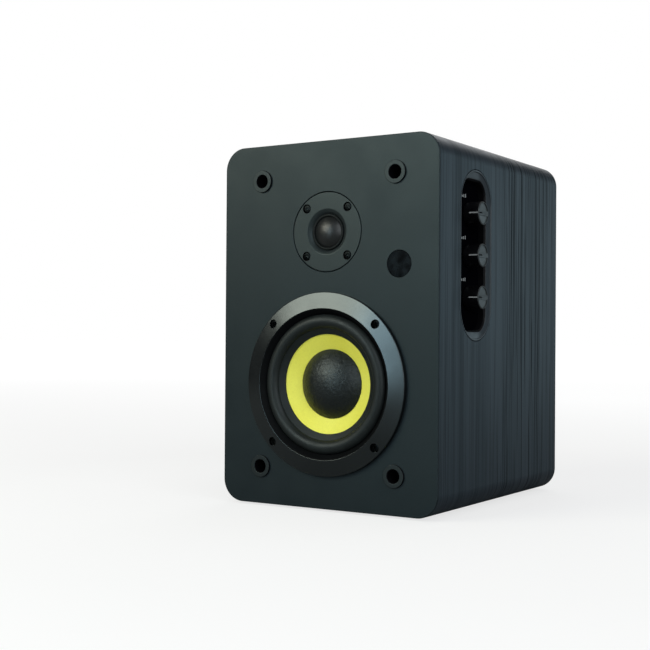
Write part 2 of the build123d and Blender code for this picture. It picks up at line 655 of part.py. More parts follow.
with BuildPart() as control_bezel:
    with BuildSketch(facing_side(SIDE - WALL)):
        with Locations((CONTROL_Y, CONTROL_Z)):
            SlotOverall(BEZEL_TALL, BEZEL_WIDE, rotation=90)
    extrude(amount=WALL)
    with BuildSketch(facing_side(SIDE - WALL)):
        with Locations((CONTROL_Y, CONTROL_Z)):
            mouth_outline()
    extrude(amount=WALL, mode=Mode.SUBTRACT)
    # the visible band slopes inward from the cabinet's side to the mouth
    rim_wide, rim_tall = BEZEL_WIDE - 2 * BEZEL_RIM, BEZEL_TALL - 2 * BEZEL_RIM
    with BuildSketch(facing_side(SIDE)):
        with Locations((CONTROL_Y, CONTROL_Z)):
            RectangleRounded(rim_wide, rim_tall, rim_wide / 2 - 0.5)
    with BuildSketch(facing_side(SIDE - BEZEL_SLOPE)):
        with Locations((CONTROL_Y, CONTROL_Z)):
            mouth_outline(0.2)
    loft(mode=Mode.SUBTRACT)
    # the pocket behind takes the control plate
    with BuildSketch(facing_side(SIDE - WALL)):
        with Locations((CONTROL_Y, CONTROL_Z)):
            mouth_outline(PLATE_MARGIN + 0.1)
    extrude(amount=PLATE_OUT - SIDE + WALL, mode=Mode.SUBTRACT)
finish(control_bezel, "control_bezel")

KNOB_HEIGHTS = [CONTROL_Z + KNOB_PITCH, CONTROL_Z, CONTROL_Z - KNOB_PITCH]
KNOB_SPOTS = [(CONTROL_Y, z) for z in KNOB_HEIGHTS]

with BuildPart() as control_plate:
    with BuildSketch(facing_side(PLATE_IN)):
        with Locations((CONTROL_Y, CONTROL_Z)):
            mouth_outline(PLATE_MARGIN)
        with Locations(*KNOB_SPOTS):
            Circle(BUSH_RADIUS + 0.1, mode=Mode.SUBTRACT)
    extrude(amount=PLATE_OUT - PLATE_IN)
finish(control_plate, "control_plate")

with BuildPart() as control_board:
    with BuildSketch(facing_side(PLATE_IN - POT_LENGTH - BOARD)):
        with Locations((CONTROL_Y, CONTROL_Z)):
            RectangleRounded(26, 88, 1.5)
    extrude(amount=BOARD)
finish(control_board, "control_board")

with BuildPart() as pot_nuts:
    with BuildSketch(facing_side(PLATE_OUT)):
        with Locations(*KNOB_SPOTS):
            RegularPolygon(NUT_RADIUS, 6)
            Circle(BUSH_RADIUS + 0.02, mode=Mode.SUBTRACT)
    extrude(amount=NUT_THICK)
finish(pot_nuts, "pot_nuts")


def d_section(radius, flat):
    """A round section with one flat, for a control shaft and the bore that takes it."""
    Circle(radius)
    with Locations((0, -flat - radius)):
        Rectangle(4 * radius, 2 * radius, mode=Mode.SUBTRACT)


for control, height in zip(("volume", "treble", "bass"), KNOB_HEIGHTS):
    knob_plane = Plane(origin=(0, CONTROL_Y, height), x_dir=(0, 1, 0), z_dir=(1, 0, 0))

    with BuildPart() as pot:
        with BuildSketch(knob_plane.offset(PLATE_IN - POT_LENGTH)):
            Circle(POT_RADIUS)
        extrude(amount=POT_LENGTH)
        with BuildSketch(knob_plane.offset(PLATE_IN)):
            Circle(BUSH_RADIUS)
        extrude(amount=BUSH_TIP - PLATE_IN)
        with BuildSketch(knob_plane.offset(SHAFT_BACK - 0.3)):
            Circle(SHAFT_RADIUS + RUNNING_GAP)
        extrude(amount=BUSH_TIP - SHAFT_BACK + 0.3, mode=Mode.SUBTRACT)
    finish(pot, f"{control}_pot")

    with BuildPart() as shaft:
        with BuildSketch(knob_plane.offset(SHAFT_BACK)):
            Circle(SHAFT_RADIUS)
        extrude(amount=BUSH_TIP + 0.5 - SHAFT_BACK)
        with BuildSketch(knob_plane.offset(BUSH_TIP + 0.5)):
            d_section(SHAFT_RADIUS, SHAFT_FLAT)
        extrude(amount=SHAFT_TIP - BUSH_TIP - 0.5)
    finish(shaft, f"{control}_shaft")

    with BuildPart() as knob:
        with BuildSketch(knob_plane.offset(KNOB_FOOT)):
            Circle(KNOB_RADIUS)
        extrude(amount=KNOB_TOP - KNOB_FOOT)
        fillet(knob.edges().group_by(Axis.X)[-1], 0.6)
        # two shallow lobes leave a grip bar across the cap
        with BuildSketch(knob_plane.offset(KNOB_TOP - KNOB_LOBE)):
            Circle(KNOB_RADIUS - 1.1)
            Rectangle(2 * KNOB_RADIUS, KNOB_BAR, mode=Mode.SUBTRACT)
        extrude(amount=KNOB_LOBE, mode=Mode.SUBTRACT)
        # hollow foot, clear of the nut and the bush
        with BuildSketch(knob_plane.offset(KNOB_FOOT)):
            Circle(NUT_RADIUS + 0.6)
        extrude(amount=BUSH_TIP + 0.5 - KNOB_FOOT, mode=Mode.SUBTRACT)
        with BuildSketch(knob_plane.offset(BUSH_TIP + 0.5)):
            d_section(SHAFT_RADIUS, SHAFT_FLAT)
        extrude(amount=SHAFT_TIP - BUSH_TIP - 0.5, mode=Mode.SUBTRACT)
    finish(knob, f"{control}_knob")

# ================= rear =================
with BuildPart() as amplifier_plate:
    with BuildSketch(facing_front(AMP_FACE, AMP_Z)):
        RectangleRounded(AMP_WIDE, AMP_TALL, 5)
    extrude(amount=AMP_THICK)
    with BuildSketch(facing_front(AMP_FACE)):
        with Locations((INLET_X, INLET_Z)):
            Rectangle(INLET_WIDE - 3.8, INLET_TALL - 3.8)
        with Locations((SWITCH_X, SWITCH_Z)):
            Rectangle(SWITCH_WIDE - 1.8, SWITCH_TALL - 1.8)
        with Locations((JACK_X, JACK_UPPER), (JACK_X, JACK_LOWER)):
            Circle(JACK_NECK + 0.1)
        with Locations((CUP_X, CUP_Z)):
            Rectangle(CUP_WIDE - 3.8, CUP_TALL - 3.8)
        with Locations(*AMP_SCREW_SPOTS):
            Circle(SCREW_CLEARANCE)
    extrude(amount=AMP_THICK, mode=Mode.SUBTRACT)
finish(amplifier_plate, "amplifier_plate")

with BuildPart() as amplifier_screws:
    with BuildSketch(facing_front(AMP_FACE + AMP_HEAD)):
        with Locations(*AMP_SCREW_SPOTS):
            Circle(AMP_HEAD_RADIUS)
    extrude(amount=AMP_HEAD)
    fillet(amplifier_screws.edges().group_by(Axis.Y)[-1], 0.8)
    with BuildSketch(facing_front(AMP_FACE)):
        with Locations(*AMP_SCREW_SPOTS):
            Circle(SHANK_RADIUS)
    extrude(amount=REAR_PANEL)
    # cross recesses
    with BuildSketch(facing_front(AMP_FACE + AMP_HEAD)):
        with Locations(*AMP_SCREW_SPOTS):
            Rectangle(3.2, 0.7)
            Rectangle(0.7, 3.2)
    extrude(amount=1.0, mode=Mode.SUBTRACT)
finish(amplifier_screws, "amplifier_screws")

SINK_SPOT, SINK_TALL, SINK_BASE, SINK_FINS = (-22, AMP_Z + 24), 34, 4, 12
with BuildPart() as heat_sink:
    with BuildSketch(facing_front(REAR_FACE)):
        with Locations(SINK_SPOT):
            Rectangle(40, SINK_TALL)
    extrude(amount=SINK_BASE)
    with BuildSketch(facing_front(REAR_FACE - SINK_BASE)):
        with Locations(SINK_SPOT):
            with GridLocations(5.4, 1, 8, 1):
                Rectangle(1.6, SINK_TALL)
    extrude(amount=SINK_FINS)
finish(heat_sink, "heat_sink")

BOARD_BACK, BOARD_WIDE, BOARD_TALL = REAR_FACE - 20, 100, 104
CAPACITOR_RADIUS, CAPACITOR_LENGTH = 9, 26
with BuildPart() as amplifier_board:
    with BuildSketch(facing_front(BOARD_BACK, AMP_Z)):
        RectangleRounded(BOARD_WIDE, BOARD_TALL, 2)
    extrude(amount=BOARD)
    # spacers that hold the board behind the plate
    with BuildSketch(facing_front(REAR_FACE, AMP_Z)):
        with Locations((-46, 46), (46, 46), (4, -46)):
            Circle(3)
    extrude(amount=REAR_FACE - BOARD_BACK)
finish(amplifier_board, "amplifier_board")

with BuildPart() as supply_capacitors:
    with BuildSketch(facing_front(BOARD_BACK - BOARD, AMP_Z)):
        with Locations((-34, 20), (-12, 20)):
            Circle(CAPACITOR_RADIUS)
    extrude(amount=CAPACITOR_LENGTH)
    fillet(supply_capacitors.edges().group_by(Axis.Y)[0], 1.2)
finish(supply_capacitors, "supply_capacitors")

FLOOR = BASE + WALL
CORE_SPOT, CORE_LONG, CORE_DEEP, CORE_TALL = (-18, 36), 48, 24, 38
BRACKET_DEEP, BRACKET_THICK = 44, 2
WINDING_LONG, WINDING_DEEP, WINDING_TALL, WINDING_FOOT = 31, 42, 24, 9
with BuildPart() as transformer:
    with BuildSketch(Plane.XY.offset(FLOOR)):
        with Locations(CORE_SPOT):
            Rectangle(CORE_LONG, BRACKET_DEEP)
    extrude(amount=BRACKET_THICK)
    with BuildSketch(Plane.XY.offset(FLOOR + BRACKET_THICK)):
        with Locations(CORE_SPOT):
            Rectangle(CORE_LONG, CORE_DEEP)
    extrude(amount=CORE_TALL)
    with BuildSketch(Plane.XY.offset(FLOOR + WINDING_FOOT)):
        with Locations(CORE_SPOT):
            RectangleRounded(WINDING_LONG, WINDING_DEEP, 4)
    extrude(amount=WINDING_TALL)
finish(transformer, "transformer")

with BuildPart() as mains_inlet:
    inlet_plane = facing_front(AMP_FACE + 1.5, INLET_Z, INLET_X)
    with BuildSketch(inlet_plane):
        RectangleRounded(INLET_WIDE, INLET_TALL, 2)
    extrude(amount=1.5)
    with BuildSketch(inlet_plane.offset(1.5)):
        Rectangle(INLET_WIDE - 4, INLET_TALL - 4)
    extrude(amount=INLET_DEPTH)
    # a two-pin socket with a figure-eight mouth
    with BuildSketch(inlet_plane):
        with GridLocations(2 * INLET_PIN_AT, 1, 2, 1):
            Circle(4.6)
        Rectangle(2 * INLET_PIN_AT, 7.0)
    extrude(amount=INLET_DEPTH - 3, mode=Mode.SUBTRACT)
    with BuildSketch(inlet_plane.offset(3)):
        with GridLocations(2 * INLET_PIN_AT, 1, 2, 1):
            Circle(INLET_PIN)
    extrude(amount=INLET_DEPTH - 4)
finish(mains_inlet, "mains_inlet")

with BuildPart() as switch_housing:
    switch_plane = facing_front(AMP_FACE + 1.5, SWITCH_Z, SWITCH_X)
    with BuildSketch(switch_plane):
        RectangleRounded(SWITCH_WIDE, SWITCH_TALL, 1.2)
    extrude(amount=1.5)
    with BuildSketch(switch_plane.offset(1.5)):
        Rectangle(SWITCH_WIDE - 2, SWITCH_TALL - 2)
    extrude(amount=SWITCH_DEPTH)
    with BuildSketch(switch_plane):
        Rectangle(ROCKER_WIDE + 0.8, ROCKER_TALL + 1.2)
    extrude(amount=9, mode=Mode.SUBTRACT)
    # the pivot pin runs across the well
    with BuildSketch(facing_side(SWITCH_X - ROCKER_WIDE / 2 - 0.4, ROCKER_PIVOT_Y, SWITCH_Z)):
        Circle(PIN_RADIUS)
    extrude(amount=ROCKER_WIDE + 0.8)
finish(switch_housing, "switch_housing")

with BuildPart() as power_rocker:
    # a shallow V seen from the side, tipped so that its lower half stands out when off
    rocker_plane = Plane(
        origin=(SWITCH_X - ROCKER_WIDE / 2, ROCKER_PIVOT_Y, SWITCH_Z), x_dir=(0, 1, 0), z_dir=(1, 0, 0)
    ).rotated((ROCKER_TILT, 0, 0), ordering=Extrinsic.XYZ)
    reach = ROCKER_TALL / 2 - 0.4
    with BuildSketch(rocker_plane):
        with BuildLine():
            Polyline(
                (ROCKER_VALLEY, 0),
                (ROCKER_PEAK, reach),
                (ROCKER_EDGE, reach),
                (-ROCKER_BACK, ROCKER_BACK),
                (-ROCKER_BACK, -ROCKER_BACK),
                (ROCKER_EDGE, -reach),
                (ROCKER_PEAK, -reach),
                close=True,
            )
        make_face()
        Circle(PIN_RADIUS + PIN_GAP, mode=Mode.SUBTRACT)
    extrude(amount=ROCKER_WIDE)
finish(power_rocker, "power_rocker")

JACK_SPOTS = [(JACK_X, JACK_UPPER), (JACK_X, JACK_LOWER)]
JACK_BLOCK, JACK_BLOCK_DEEP = 12.0, 6.0
with BuildPart() as input_jack_shells:
    with BuildSketch(facing_front(AMP_FACE + JACK_LENGTH)):
        with Locations(*JACK_SPOTS):
            Circle(JACK_RADIUS)
    extrude(amount=JACK_LENGTH)
    with BuildSketch(facing_front(AMP_FACE)):
        with Locations(*JACK_SPOTS):
            Circle(JACK_NECK)
    extrude(amount=AMP_THICK)
    with BuildSketch(facing_front(REAR_FACE)):
        with Locations(*JACK_SPOTS):
            Rectangle(JACK_BLOCK, JACK_BLOCK)
    extrude(amount=JACK_BLOCK_DEEP)
    with BuildSketch(facing_front(AMP_FACE + JACK_LENGTH)):
        with Locations(*JACK_SPOTS):
            Circle(JACK_RADIUS - 0.7)
    extrude(amount=JACK_LENGTH + AMP_THICK + JACK_BLOCK_DEEP, mode=Mode.SUBTRACT)
finish(input_jack_shells, "input_jack_shells")

for colour, height in (("red", JACK_UPPER), ("white", JACK_LOWER)):
    with BuildPart() as insert:
        with BuildSketch(facing_front(AMP_FACE + JACK_LENGTH - 0.6, height, JACK_X)):
            Circle(JACK_RADIUS - 0.7)
            Circle(JACK_BORE, mode=Mode.SUBTRACT)
        extrude(amount=JACK_LENGTH + AMP_THICK + 4)
    finish(insert, f"input_jack_insert_{colour}")

PIVOT_Y, PIVOT_Z = AMP_FACE - 1.0, CUP_Z + 9.0
with BuildPart() as speaker_terminal_cup:
    cup_plane = facing_front(AMP_FACE + CUP_RIM, CUP_Z, CUP_X)
    with BuildSketch(cup_plane):
        RectangleRounded(CUP_WIDE, CUP_TALL, 3)
    extrude(amount=CUP_RIM)
    with BuildSketch(cup_plane.offset(CUP_RIM)):
        Rectangle(CUP_WIDE - 4, CUP_TALL - 4)
    extrude(amount=CUP_BACK)
    # a well for each lever, and a wire hole under it
    with BuildSketch(cup_plane):
        with GridLocations(2 * LEVER_X, 1, 2, 1):
            with Locations((0, 3)):
                Rectangle(LEVER_WIDE + 2 * LEVER_GAP, LEVER_TALL + 4)
            with Locations((0, -WIRE_HOLE_BELOW)):
                Circle(WIRE_HOLE)
    extrude(amount=10, mode=Mode.SUBTRACT)
    for x in (-LEVER_X, LEVER_X):
        with BuildSketch(facing_side(CUP_X + x - LEVER_WIDE / 2 - LEVER_GAP, PIVOT_Y, PIVOT_Z)):
            Circle(PIN_RADIUS)
        extrude(amount=LEVER_WIDE + 2 * LEVER_GAP)
finish(speaker_terminal_cup, "speaker_terminal_cup")

for colour, x in (("red", LEVER_X), ("black", -LEVER_X)):
    with BuildPart() as lever:
        with BuildSketch(facing_side(CUP_X + x - LEVER_WIDE / 2, PIVOT_Y, PIVOT_Z)):
            Circle(2.2)
            with Locations((LEVER_THICK / 2 - 0.2, -LEVER_TALL / 2 + 1)):
                Rectangle(LEVER_THICK, LEVER_TALL - 2)
            with Locations((LEVER_THICK + 0.6, -LEVER_TALL + 4)):
                Rectangle(3.0, 3.0)
            Circle(PIN_RADIUS + PIN_GAP, mode=Mode.SUBTRACT)
        extrude(amount=LEVER_WIDE)
    finish(lever, f"terminal_lever_{colour}")

with BuildPart() as bass_port_tube:
    tube_front = REAR_FACE - PORT_LENGTH
    with BuildSketch(PORT_PROFILE):
        with BuildLine():
            Line((tube_front, PORT_BORE), (tube_front, PORT_BORE + PORT_WALL))
            Line((tube_front, PORT_BORE + PORT_WALL), (REAR_FACE, PORT_BORE + PORT_WALL))
            Line((REAR_FACE, PORT_BORE + PORT_WALL), (REAR_FACE, PORT_FLARE))
            Line((REAR_FACE, PORT_FLARE), (REAR_FACE + 1.0, PORT_FLARE))
            ThreePointArc(
                (REAR_FACE + 1.0, PORT_FLARE),
                (REAR_FACE + PORT_PROUD - 0.4, PORT_FLARE - 1.6),
                (REAR_FACE + PORT_PROUD, PORT_FLARE - 4.0),
            )
            ThreePointArc(
                (REAR_FACE + PORT_PROUD, PORT_FLARE - 4.0),
                (REAR_FACE + PORT_PROUD - 2.2, PORT_BORE + 1.5),
                (REAR_FACE - 6.0, PORT_BORE),
            )
            Line((REAR_FACE - 6.0, PORT_BORE), (tube_front, PORT_BORE))
        make_face()
    revolve(axis=PORT_AXIS)
finish(bass_port_tube, "bass_port_tube")

# ================= leads held inside the cabinet =================
LEAD_RADIUS, RUN_SHARE = 1.5, 0.45
BOARD_FRONT = BOARD_BACK - BOARD
WOOFER_LEAD = [
    (18, FRONT + SPIDER_LEDGE + 1.2, 114),
    (18, -65, 114),
    (25, -52, 121),
    (27, -22, 124),
    (23, 14, 121),
    (15, 44, 112),
    (14, 62, 106),
    (14, BOARD_FRONT, 106),
]
TWEETER_LEAD = [
    (10, FRONT + 17.7, 173),
    (10, -70, 173),
    (13, -56, 166),
    (17, -30, 154),
    (19, 4, 143),
    (17, 38, 135),
    (16, 60, 131),
    (16, BOARD_FRONT, 131),
]


def arc_radii(points):
    """The largest fair arc at each corner: a share of the shorter run over the half turn's tangent."""
    runs = [Vector(*b) - Vector(*a) for a, b in zip(points, points[1:])]
    half_turns = [radians(a.get_angle(b)) / 2 for a, b in zip(runs, runs[1:])]
    corners = zip(runs, runs[1:], half_turns)
    return [RUN_SHARE * min(a.length, b.length) / tan(turn) for a, b, turn in corners]


for name, points in (("woofer_lead", WOOFER_LEAD), ("tweeter_lead", TWEETER_LEAD)):
    with BuildPart() as lead:
        with BuildLine() as route:
            FilletPolyline(*points, radius=arc_radii(points))
        path = route.wire()
        with BuildSketch(Plane(origin=path @ 0, z_dir=path % 0)):
            Circle(LEAD_RADIUS)
        sweep(path=path)
    whole = pi * LEAD_RADIUS**2 * path.length
    print(name, "length", round(path.length, 1), "volume share", round(lead.part.volume / whole, 3))
    print(name, "arc radii", [round(radius) for radius in arc_radii(points)])
    finish(lead, name)
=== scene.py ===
from math import asin, cos, degrees, pi, radians, sin, sqrt, tan

import bmesh
import bpy
import numpy as np
from mathutils import Matrix, Vector


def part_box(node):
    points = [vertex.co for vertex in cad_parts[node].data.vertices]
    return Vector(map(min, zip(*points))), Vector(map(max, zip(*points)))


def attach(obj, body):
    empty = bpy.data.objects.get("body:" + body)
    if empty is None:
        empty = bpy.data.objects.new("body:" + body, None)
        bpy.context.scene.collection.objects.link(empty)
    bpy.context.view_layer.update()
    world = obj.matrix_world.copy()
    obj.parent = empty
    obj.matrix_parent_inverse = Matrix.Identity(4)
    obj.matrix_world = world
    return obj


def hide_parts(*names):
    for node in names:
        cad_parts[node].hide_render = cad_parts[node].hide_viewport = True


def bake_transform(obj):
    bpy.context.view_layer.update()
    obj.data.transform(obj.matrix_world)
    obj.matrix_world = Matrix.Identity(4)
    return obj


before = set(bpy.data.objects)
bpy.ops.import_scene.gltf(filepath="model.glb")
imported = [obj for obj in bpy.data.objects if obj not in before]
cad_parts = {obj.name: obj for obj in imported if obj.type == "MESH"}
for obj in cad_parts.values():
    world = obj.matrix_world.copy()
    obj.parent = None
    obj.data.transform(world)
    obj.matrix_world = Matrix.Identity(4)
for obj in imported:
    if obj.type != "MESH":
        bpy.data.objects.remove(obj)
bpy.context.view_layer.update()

MM = 0.001

# ---------------- places, from the CAD parts


def box(node):
    """Lowest and highest corner of a CAD node, in millimetres."""
    low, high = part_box(node)
    return low / MM, high / MM


def middle(node):
    """Centre of a CAD node's box, in millimetres."""
    low, high = box(node)
    return (low + high) / 2


def across_front(node):
    """Where a node's centre is on the front or the rear: (x, z)."""
    centre = middle(node)
    return centre.x, centre.z


def across_side(node):
    """Where a node's centre is on the control side: (y, z)."""
    centre = middle(node)
    return centre.y, centre.z


FACE = box("front_baffle")[0].y
SIDE = box("cabinet_shell")[1].x
BACK = box("cabinet_shell")[1].y
AMP_BACK = box("amplifier_plate")[1].y
WOOFER = across_front("woofer_trim_ring")
TWEETER = across_front("tweeter_faceplate")
WINDOW = across_front("ir_window")
AMPLIFIER = across_front("amplifier_plate")
SOCKET_RADIUS, SOCKET_BORE, SOCKET_BARREL, SOCKET_DEPTH = 7.4, 4.4, 5.5, 11.0
SOCKET_LOW, SOCKET_HIGH = box("grille_sockets")
SOCKETS = [
    (x, z)
    for x in (SOCKET_LOW.x + SOCKET_RADIUS, SOCKET_HIGH.x - SOCKET_RADIUS)
    for z in (SOCKET_LOW.z + SOCKET_RADIUS, SOCKET_HIGH.z - SOCKET_RADIUS)
]
CONTROL_NAMES = ("volume", "treble", "bass")
KNOBS = [(name, across_side(f"{name}_knob")) for name in CONTROL_NAMES]
CONTROLS = across_side("control_bezel")

# ---------------- mesh helpers

# for each axis: its own direction, then the two directions across it
DIRECTIONS = {
    "x": ((1, 0, 0), (0, 1, 0), (0, 0, 1)),
    "y": ((0, 1, 0), (1, 0, 0), (0, 0, 1)),
    "z": ((0, 0, 1), (1, 0, 0), (0, 1, 0)),
}
SQUARE = ((1, 1), (-1, 1), (-1, -1), (1, -1))


def around(centre, across, up=None):
    """Four places round a centre, at an offset across it and up from it."""
    up = across if up is None else up
    return [(centre[0] + across * x, centre[1] + up * z) for x, z in SQUARE]


def spot(axis, along, across, up):
    """The point at a position along an axis and two offsets across it."""
    a, u, v = DIRECTIONS[axis]
    return tuple(along * a[i] + across * u[i] + up * v[i] for i in range(3))


def add_object(name, data):
    """A new object in the scene."""
    obj = bpy.data.objects.new(name, data)
    bpy.context.scene.collection.objects.link(obj)
    return obj


def build(name, vertices, faces):
    """A mesh object from points in millimetres, with doubled points merged and faces turned outward."""
    mesh = bpy.data.meshes.new(name)
    work = bmesh.new()
    made = [work.verts.new([c * MM for c in v]) for v in vertices]
    for face in faces:
        work.faces.new([made[i] for i in face])
    bmesh.ops.remove_doubles(work, verts=work.verts, dist=1e-7)
    bmesh.ops.recalc_face_normals(work, faces=work.faces)
    work.to_mesh(mesh)
    work.free()
    return add_object(name, mesh)


def loft(name, axis, centre, sections, closed=False):
    """A skin over sections, each (position along the axis, loop of points across it)."""
    count, rows = len(sections[0][1]), len(sections)
    vertices = [spot(axis, at, centre[0] + u, centre[1] + v) for at, loop in sections for u, v in loop]
    faces = []
    for i in range(rows if closed else rows - 1):
        below, above = i * count, (i + 1) % rows * count
        for j in range(count):
            k = (j + 1) % count
            faces.append((below + j, below + k, above + k, above + j))
    if not closed:
        faces.append(tuple(range(count)))
        faces.append(tuple(range((rows - 1) * count, rows * count)))
    return build(name, vertices, faces)


def lathe(name, axis, centre, outline, closed=True, steps=144):
    """A turned piece from an outline of (position along the axis, radius) points."""
    vertices, rows, faces = [], [], []
    for at, radius in outline:
        first = len(vertices)
        turns = [2 * pi * j / steps for j in range(steps)] if radius > 1e-6 else [0]
        vertices += [spot(axis, at, centre[0] + radius * cos(t), centre[1] + radius * sin(t)) for t in turns]
        rows.append(range(first, len(vertices)))
    pairs = list(zip(rows, rows[1:]))
    if closed:
        pairs.append((rows[-1], rows[0]))
    for one, two in pairs:
        for j in range(steps):
            k = (j + 1) % steps
            corners = (one[j % len(one)], one[k % len(one)], two[k % len(two)], two[j % len(two)])
            face = tuple(dict.fromkeys(corners))
            if len(face) > 2:
                faces.append(face)
    return build(name, vertices, faces)


def rounded(points, closed=True, steps=4):
    """A polyline with rounded corners. Each point is (x, y) or (x, y, corner radius)."""
    result = []
    count = len(points)
    for i, point in enumerate(points):
        here = Vector(point[:2])
        wanted = point[2] if len(point) > 2 else 0
        if not wanted or (not closed and i in (0, count - 1)):
            result.append(tuple(here))
            continue
        back = Vector(points[i - 1][:2]) - here
        on = Vector(points[(i + 1) % count][:2]) - here
        half = back.angle(on) / 2
        reach = min(wanted / tan(half), 0.48 * back.length, 0.48 * on.length)
        radius = reach * tan(half)
        centre = here + (back.normalized() + on.normalized()).normalized() * radius / sin(half)
        start = here + back.normalized() * reach - centre
        end = here + on.normalized() * reach - centre
        sweep = pi - 2 * half
        for s in range(steps + 1):
            share = s / steps
            arm = (start * sin((1 - share) * sweep) + end * sin(share * sweep)) / sin(sweep)
            result.append(tuple(centre + arm))
    return result


def turned(name, axis, centre, points, closed=False, steps=6, sides=48):
    """A turned piece whose outline has rounded corners."""
    return lathe(name, axis, centre, rounded(points, closed, steps), closed, sides)


def arc(centre, radius, start, end, steps=24):
    """Points on an arc, with its angles in degrees."""
    turns = [radians(start + (end - start) * i / steps) for i in range(steps + 1)]
    return [(centre[0] + radius * cos(t), centre[1] + radius * sin(t)) for t in turns]


def cap_arc(apex, rim, radius, steps=32):
    """A spherical cap's section, from the rim at a radius to the apex on the axis."""
    height = rim - apex
    sphere = (radius**2 + height**2) / (2 * height)
    reaches = [radius * (1 - i / steps) for i in range(steps + 1)]
    return [(apex + sphere - sqrt(sphere**2 - r**2), r) for r in reaches]


def rectangle(wide, tall, corner, steps=12):
    """A loop round a rectangle with rounded corners; a corner of half its width makes a slot."""
    corner = max(min(corner, wide / 2, tall / 2), 0.01)
    loop = []
    for quarter, (right, top) in enumerate(SQUARE):
        centre = (right * (wide / 2 - corner), top * (tall / 2 - corner))
        loop += arc(centre, corner, 90 * quarter, 90 * quarter + 90, steps)
    return loop


def slab(name, axis, centre, wide, tall, corner, back, front, edge=0.4, steps=4):
    """A plate whose front edges are rounded over."""
    way = 1 if front > back else -1
    sections = [(back, rectangle(wide, tall, corner))]
    for i in range(steps + 1):
        turn = radians(90 * i / steps)
        inset = edge * (1 - cos(turn))
        loop = rectangle(wide - 2 * inset, tall - 2 * inset, corner - inset)
        sections.append((front - way * edge * (1 - sin(turn)), loop))
    return loft(name, axis, centre, sections)


def prism(name, axis, centre, loop, start, end):
    """A loop of points pushed along an axis."""
    return loft(name, axis, centre, [(start, loop), (end, loop)])


def drill(axis, centre, radius, start, end, steps=48):
    """A plain round cutter."""
    return lathe("cutter", axis, centre, [(start, 0), (start, radius), (end, radius), (end, 0)], False, steps)


def carve(obj, *cutters, operation="DIFFERENCE"):
    """Cuts the cutters out of a piece, or joins them on, and removes them."""
    for cutter in cutters:
        step = obj.modifiers.new("carve", "BOOLEAN")
        step.operation = operation
        step.solver = "EXACT"
        step.object = cutter
    bpy.context.view_layer.update()
    seen = obj.evaluated_get(bpy.context.evaluated_depsgraph_get())
    mesh = bpy.data.meshes.new_from_object(seen)
    obj.modifiers.clear()
    obj.data = mesh
    for cutter in cutters:
        bpy.data.objects.remove(cutter)
    return obj


def merge(name, parts):
    """One object from several that don't touch."""
    work = bmesh.new()
    for part in parts:
        work.from_mesh(part.data)
        bpy.data.objects.remove(part)
    mesh = bpy.data.meshes.new(name)
    work.to_mesh(mesh)
    work.free()
    return add_object(name, mesh)


def cut(obj, cutters):
    """Cuts several separate cutters out of a piece in one step."""
    carve(obj, merge("cutter", cutters))


def cross(reach, half, turn):
    """A plus-shaped loop, turned by some degrees."""
    c, s = cos(radians(turn)), sin(radians(turn))
    plain = [
        (reach, -half), (reach, half), (half, half), (half, reach), (-half, reach), (-half, half),
        (-reach, half), (-reach, -half), (-half, -half), (-half, -reach), (half, -reach), (half, -half),
    ]
    return [(x * c - y * s, x * s + y * c) for x, y in plain]


def shade(obj, material, crease=35):
    """Gives a piece its material, smooth faces and creases where it turns sharply."""
    obj.data.materials.clear()
    obj.data.materials.append(material)
    obj.data.shade_smooth()
    obj.data.set_sharp_from_angle(angle=radians(crease))
    normals = obj.modifiers.new("normals", "WEIGHTED_NORMAL")
    normals.keep_sharp = True


def dress(obj, material, slot, *nodes, body="cabinet"):
    """Finishes a rigid piece: its looks, the body it rides on and the CAD nodes it stands for."""
    shade(obj, material)
    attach(obj, body)
    if nodes:
        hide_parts(*nodes)
    return obj


def reach_from(at, *places):
    """How far a point is from the nearest of some places on the front."""
    return min((at.xz - Vector(place)).length for place in places)


def paint_part(obj, material, chosen):
    """Gives a second material to the faces whose middle, in millimetres, passes a test."""
    obj.data.materials.append(material)
    for face in obj.data.polygons:
        if chosen(face.center / MM):
            face.material_index = 1


def flex(obj, material, node):
    """Finishes a flexing ring: its looks, its place baked into its mesh, and its CAD node hidden."""
    shade(obj, material)
    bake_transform(obj)
    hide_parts(node)


# ---------------- materials


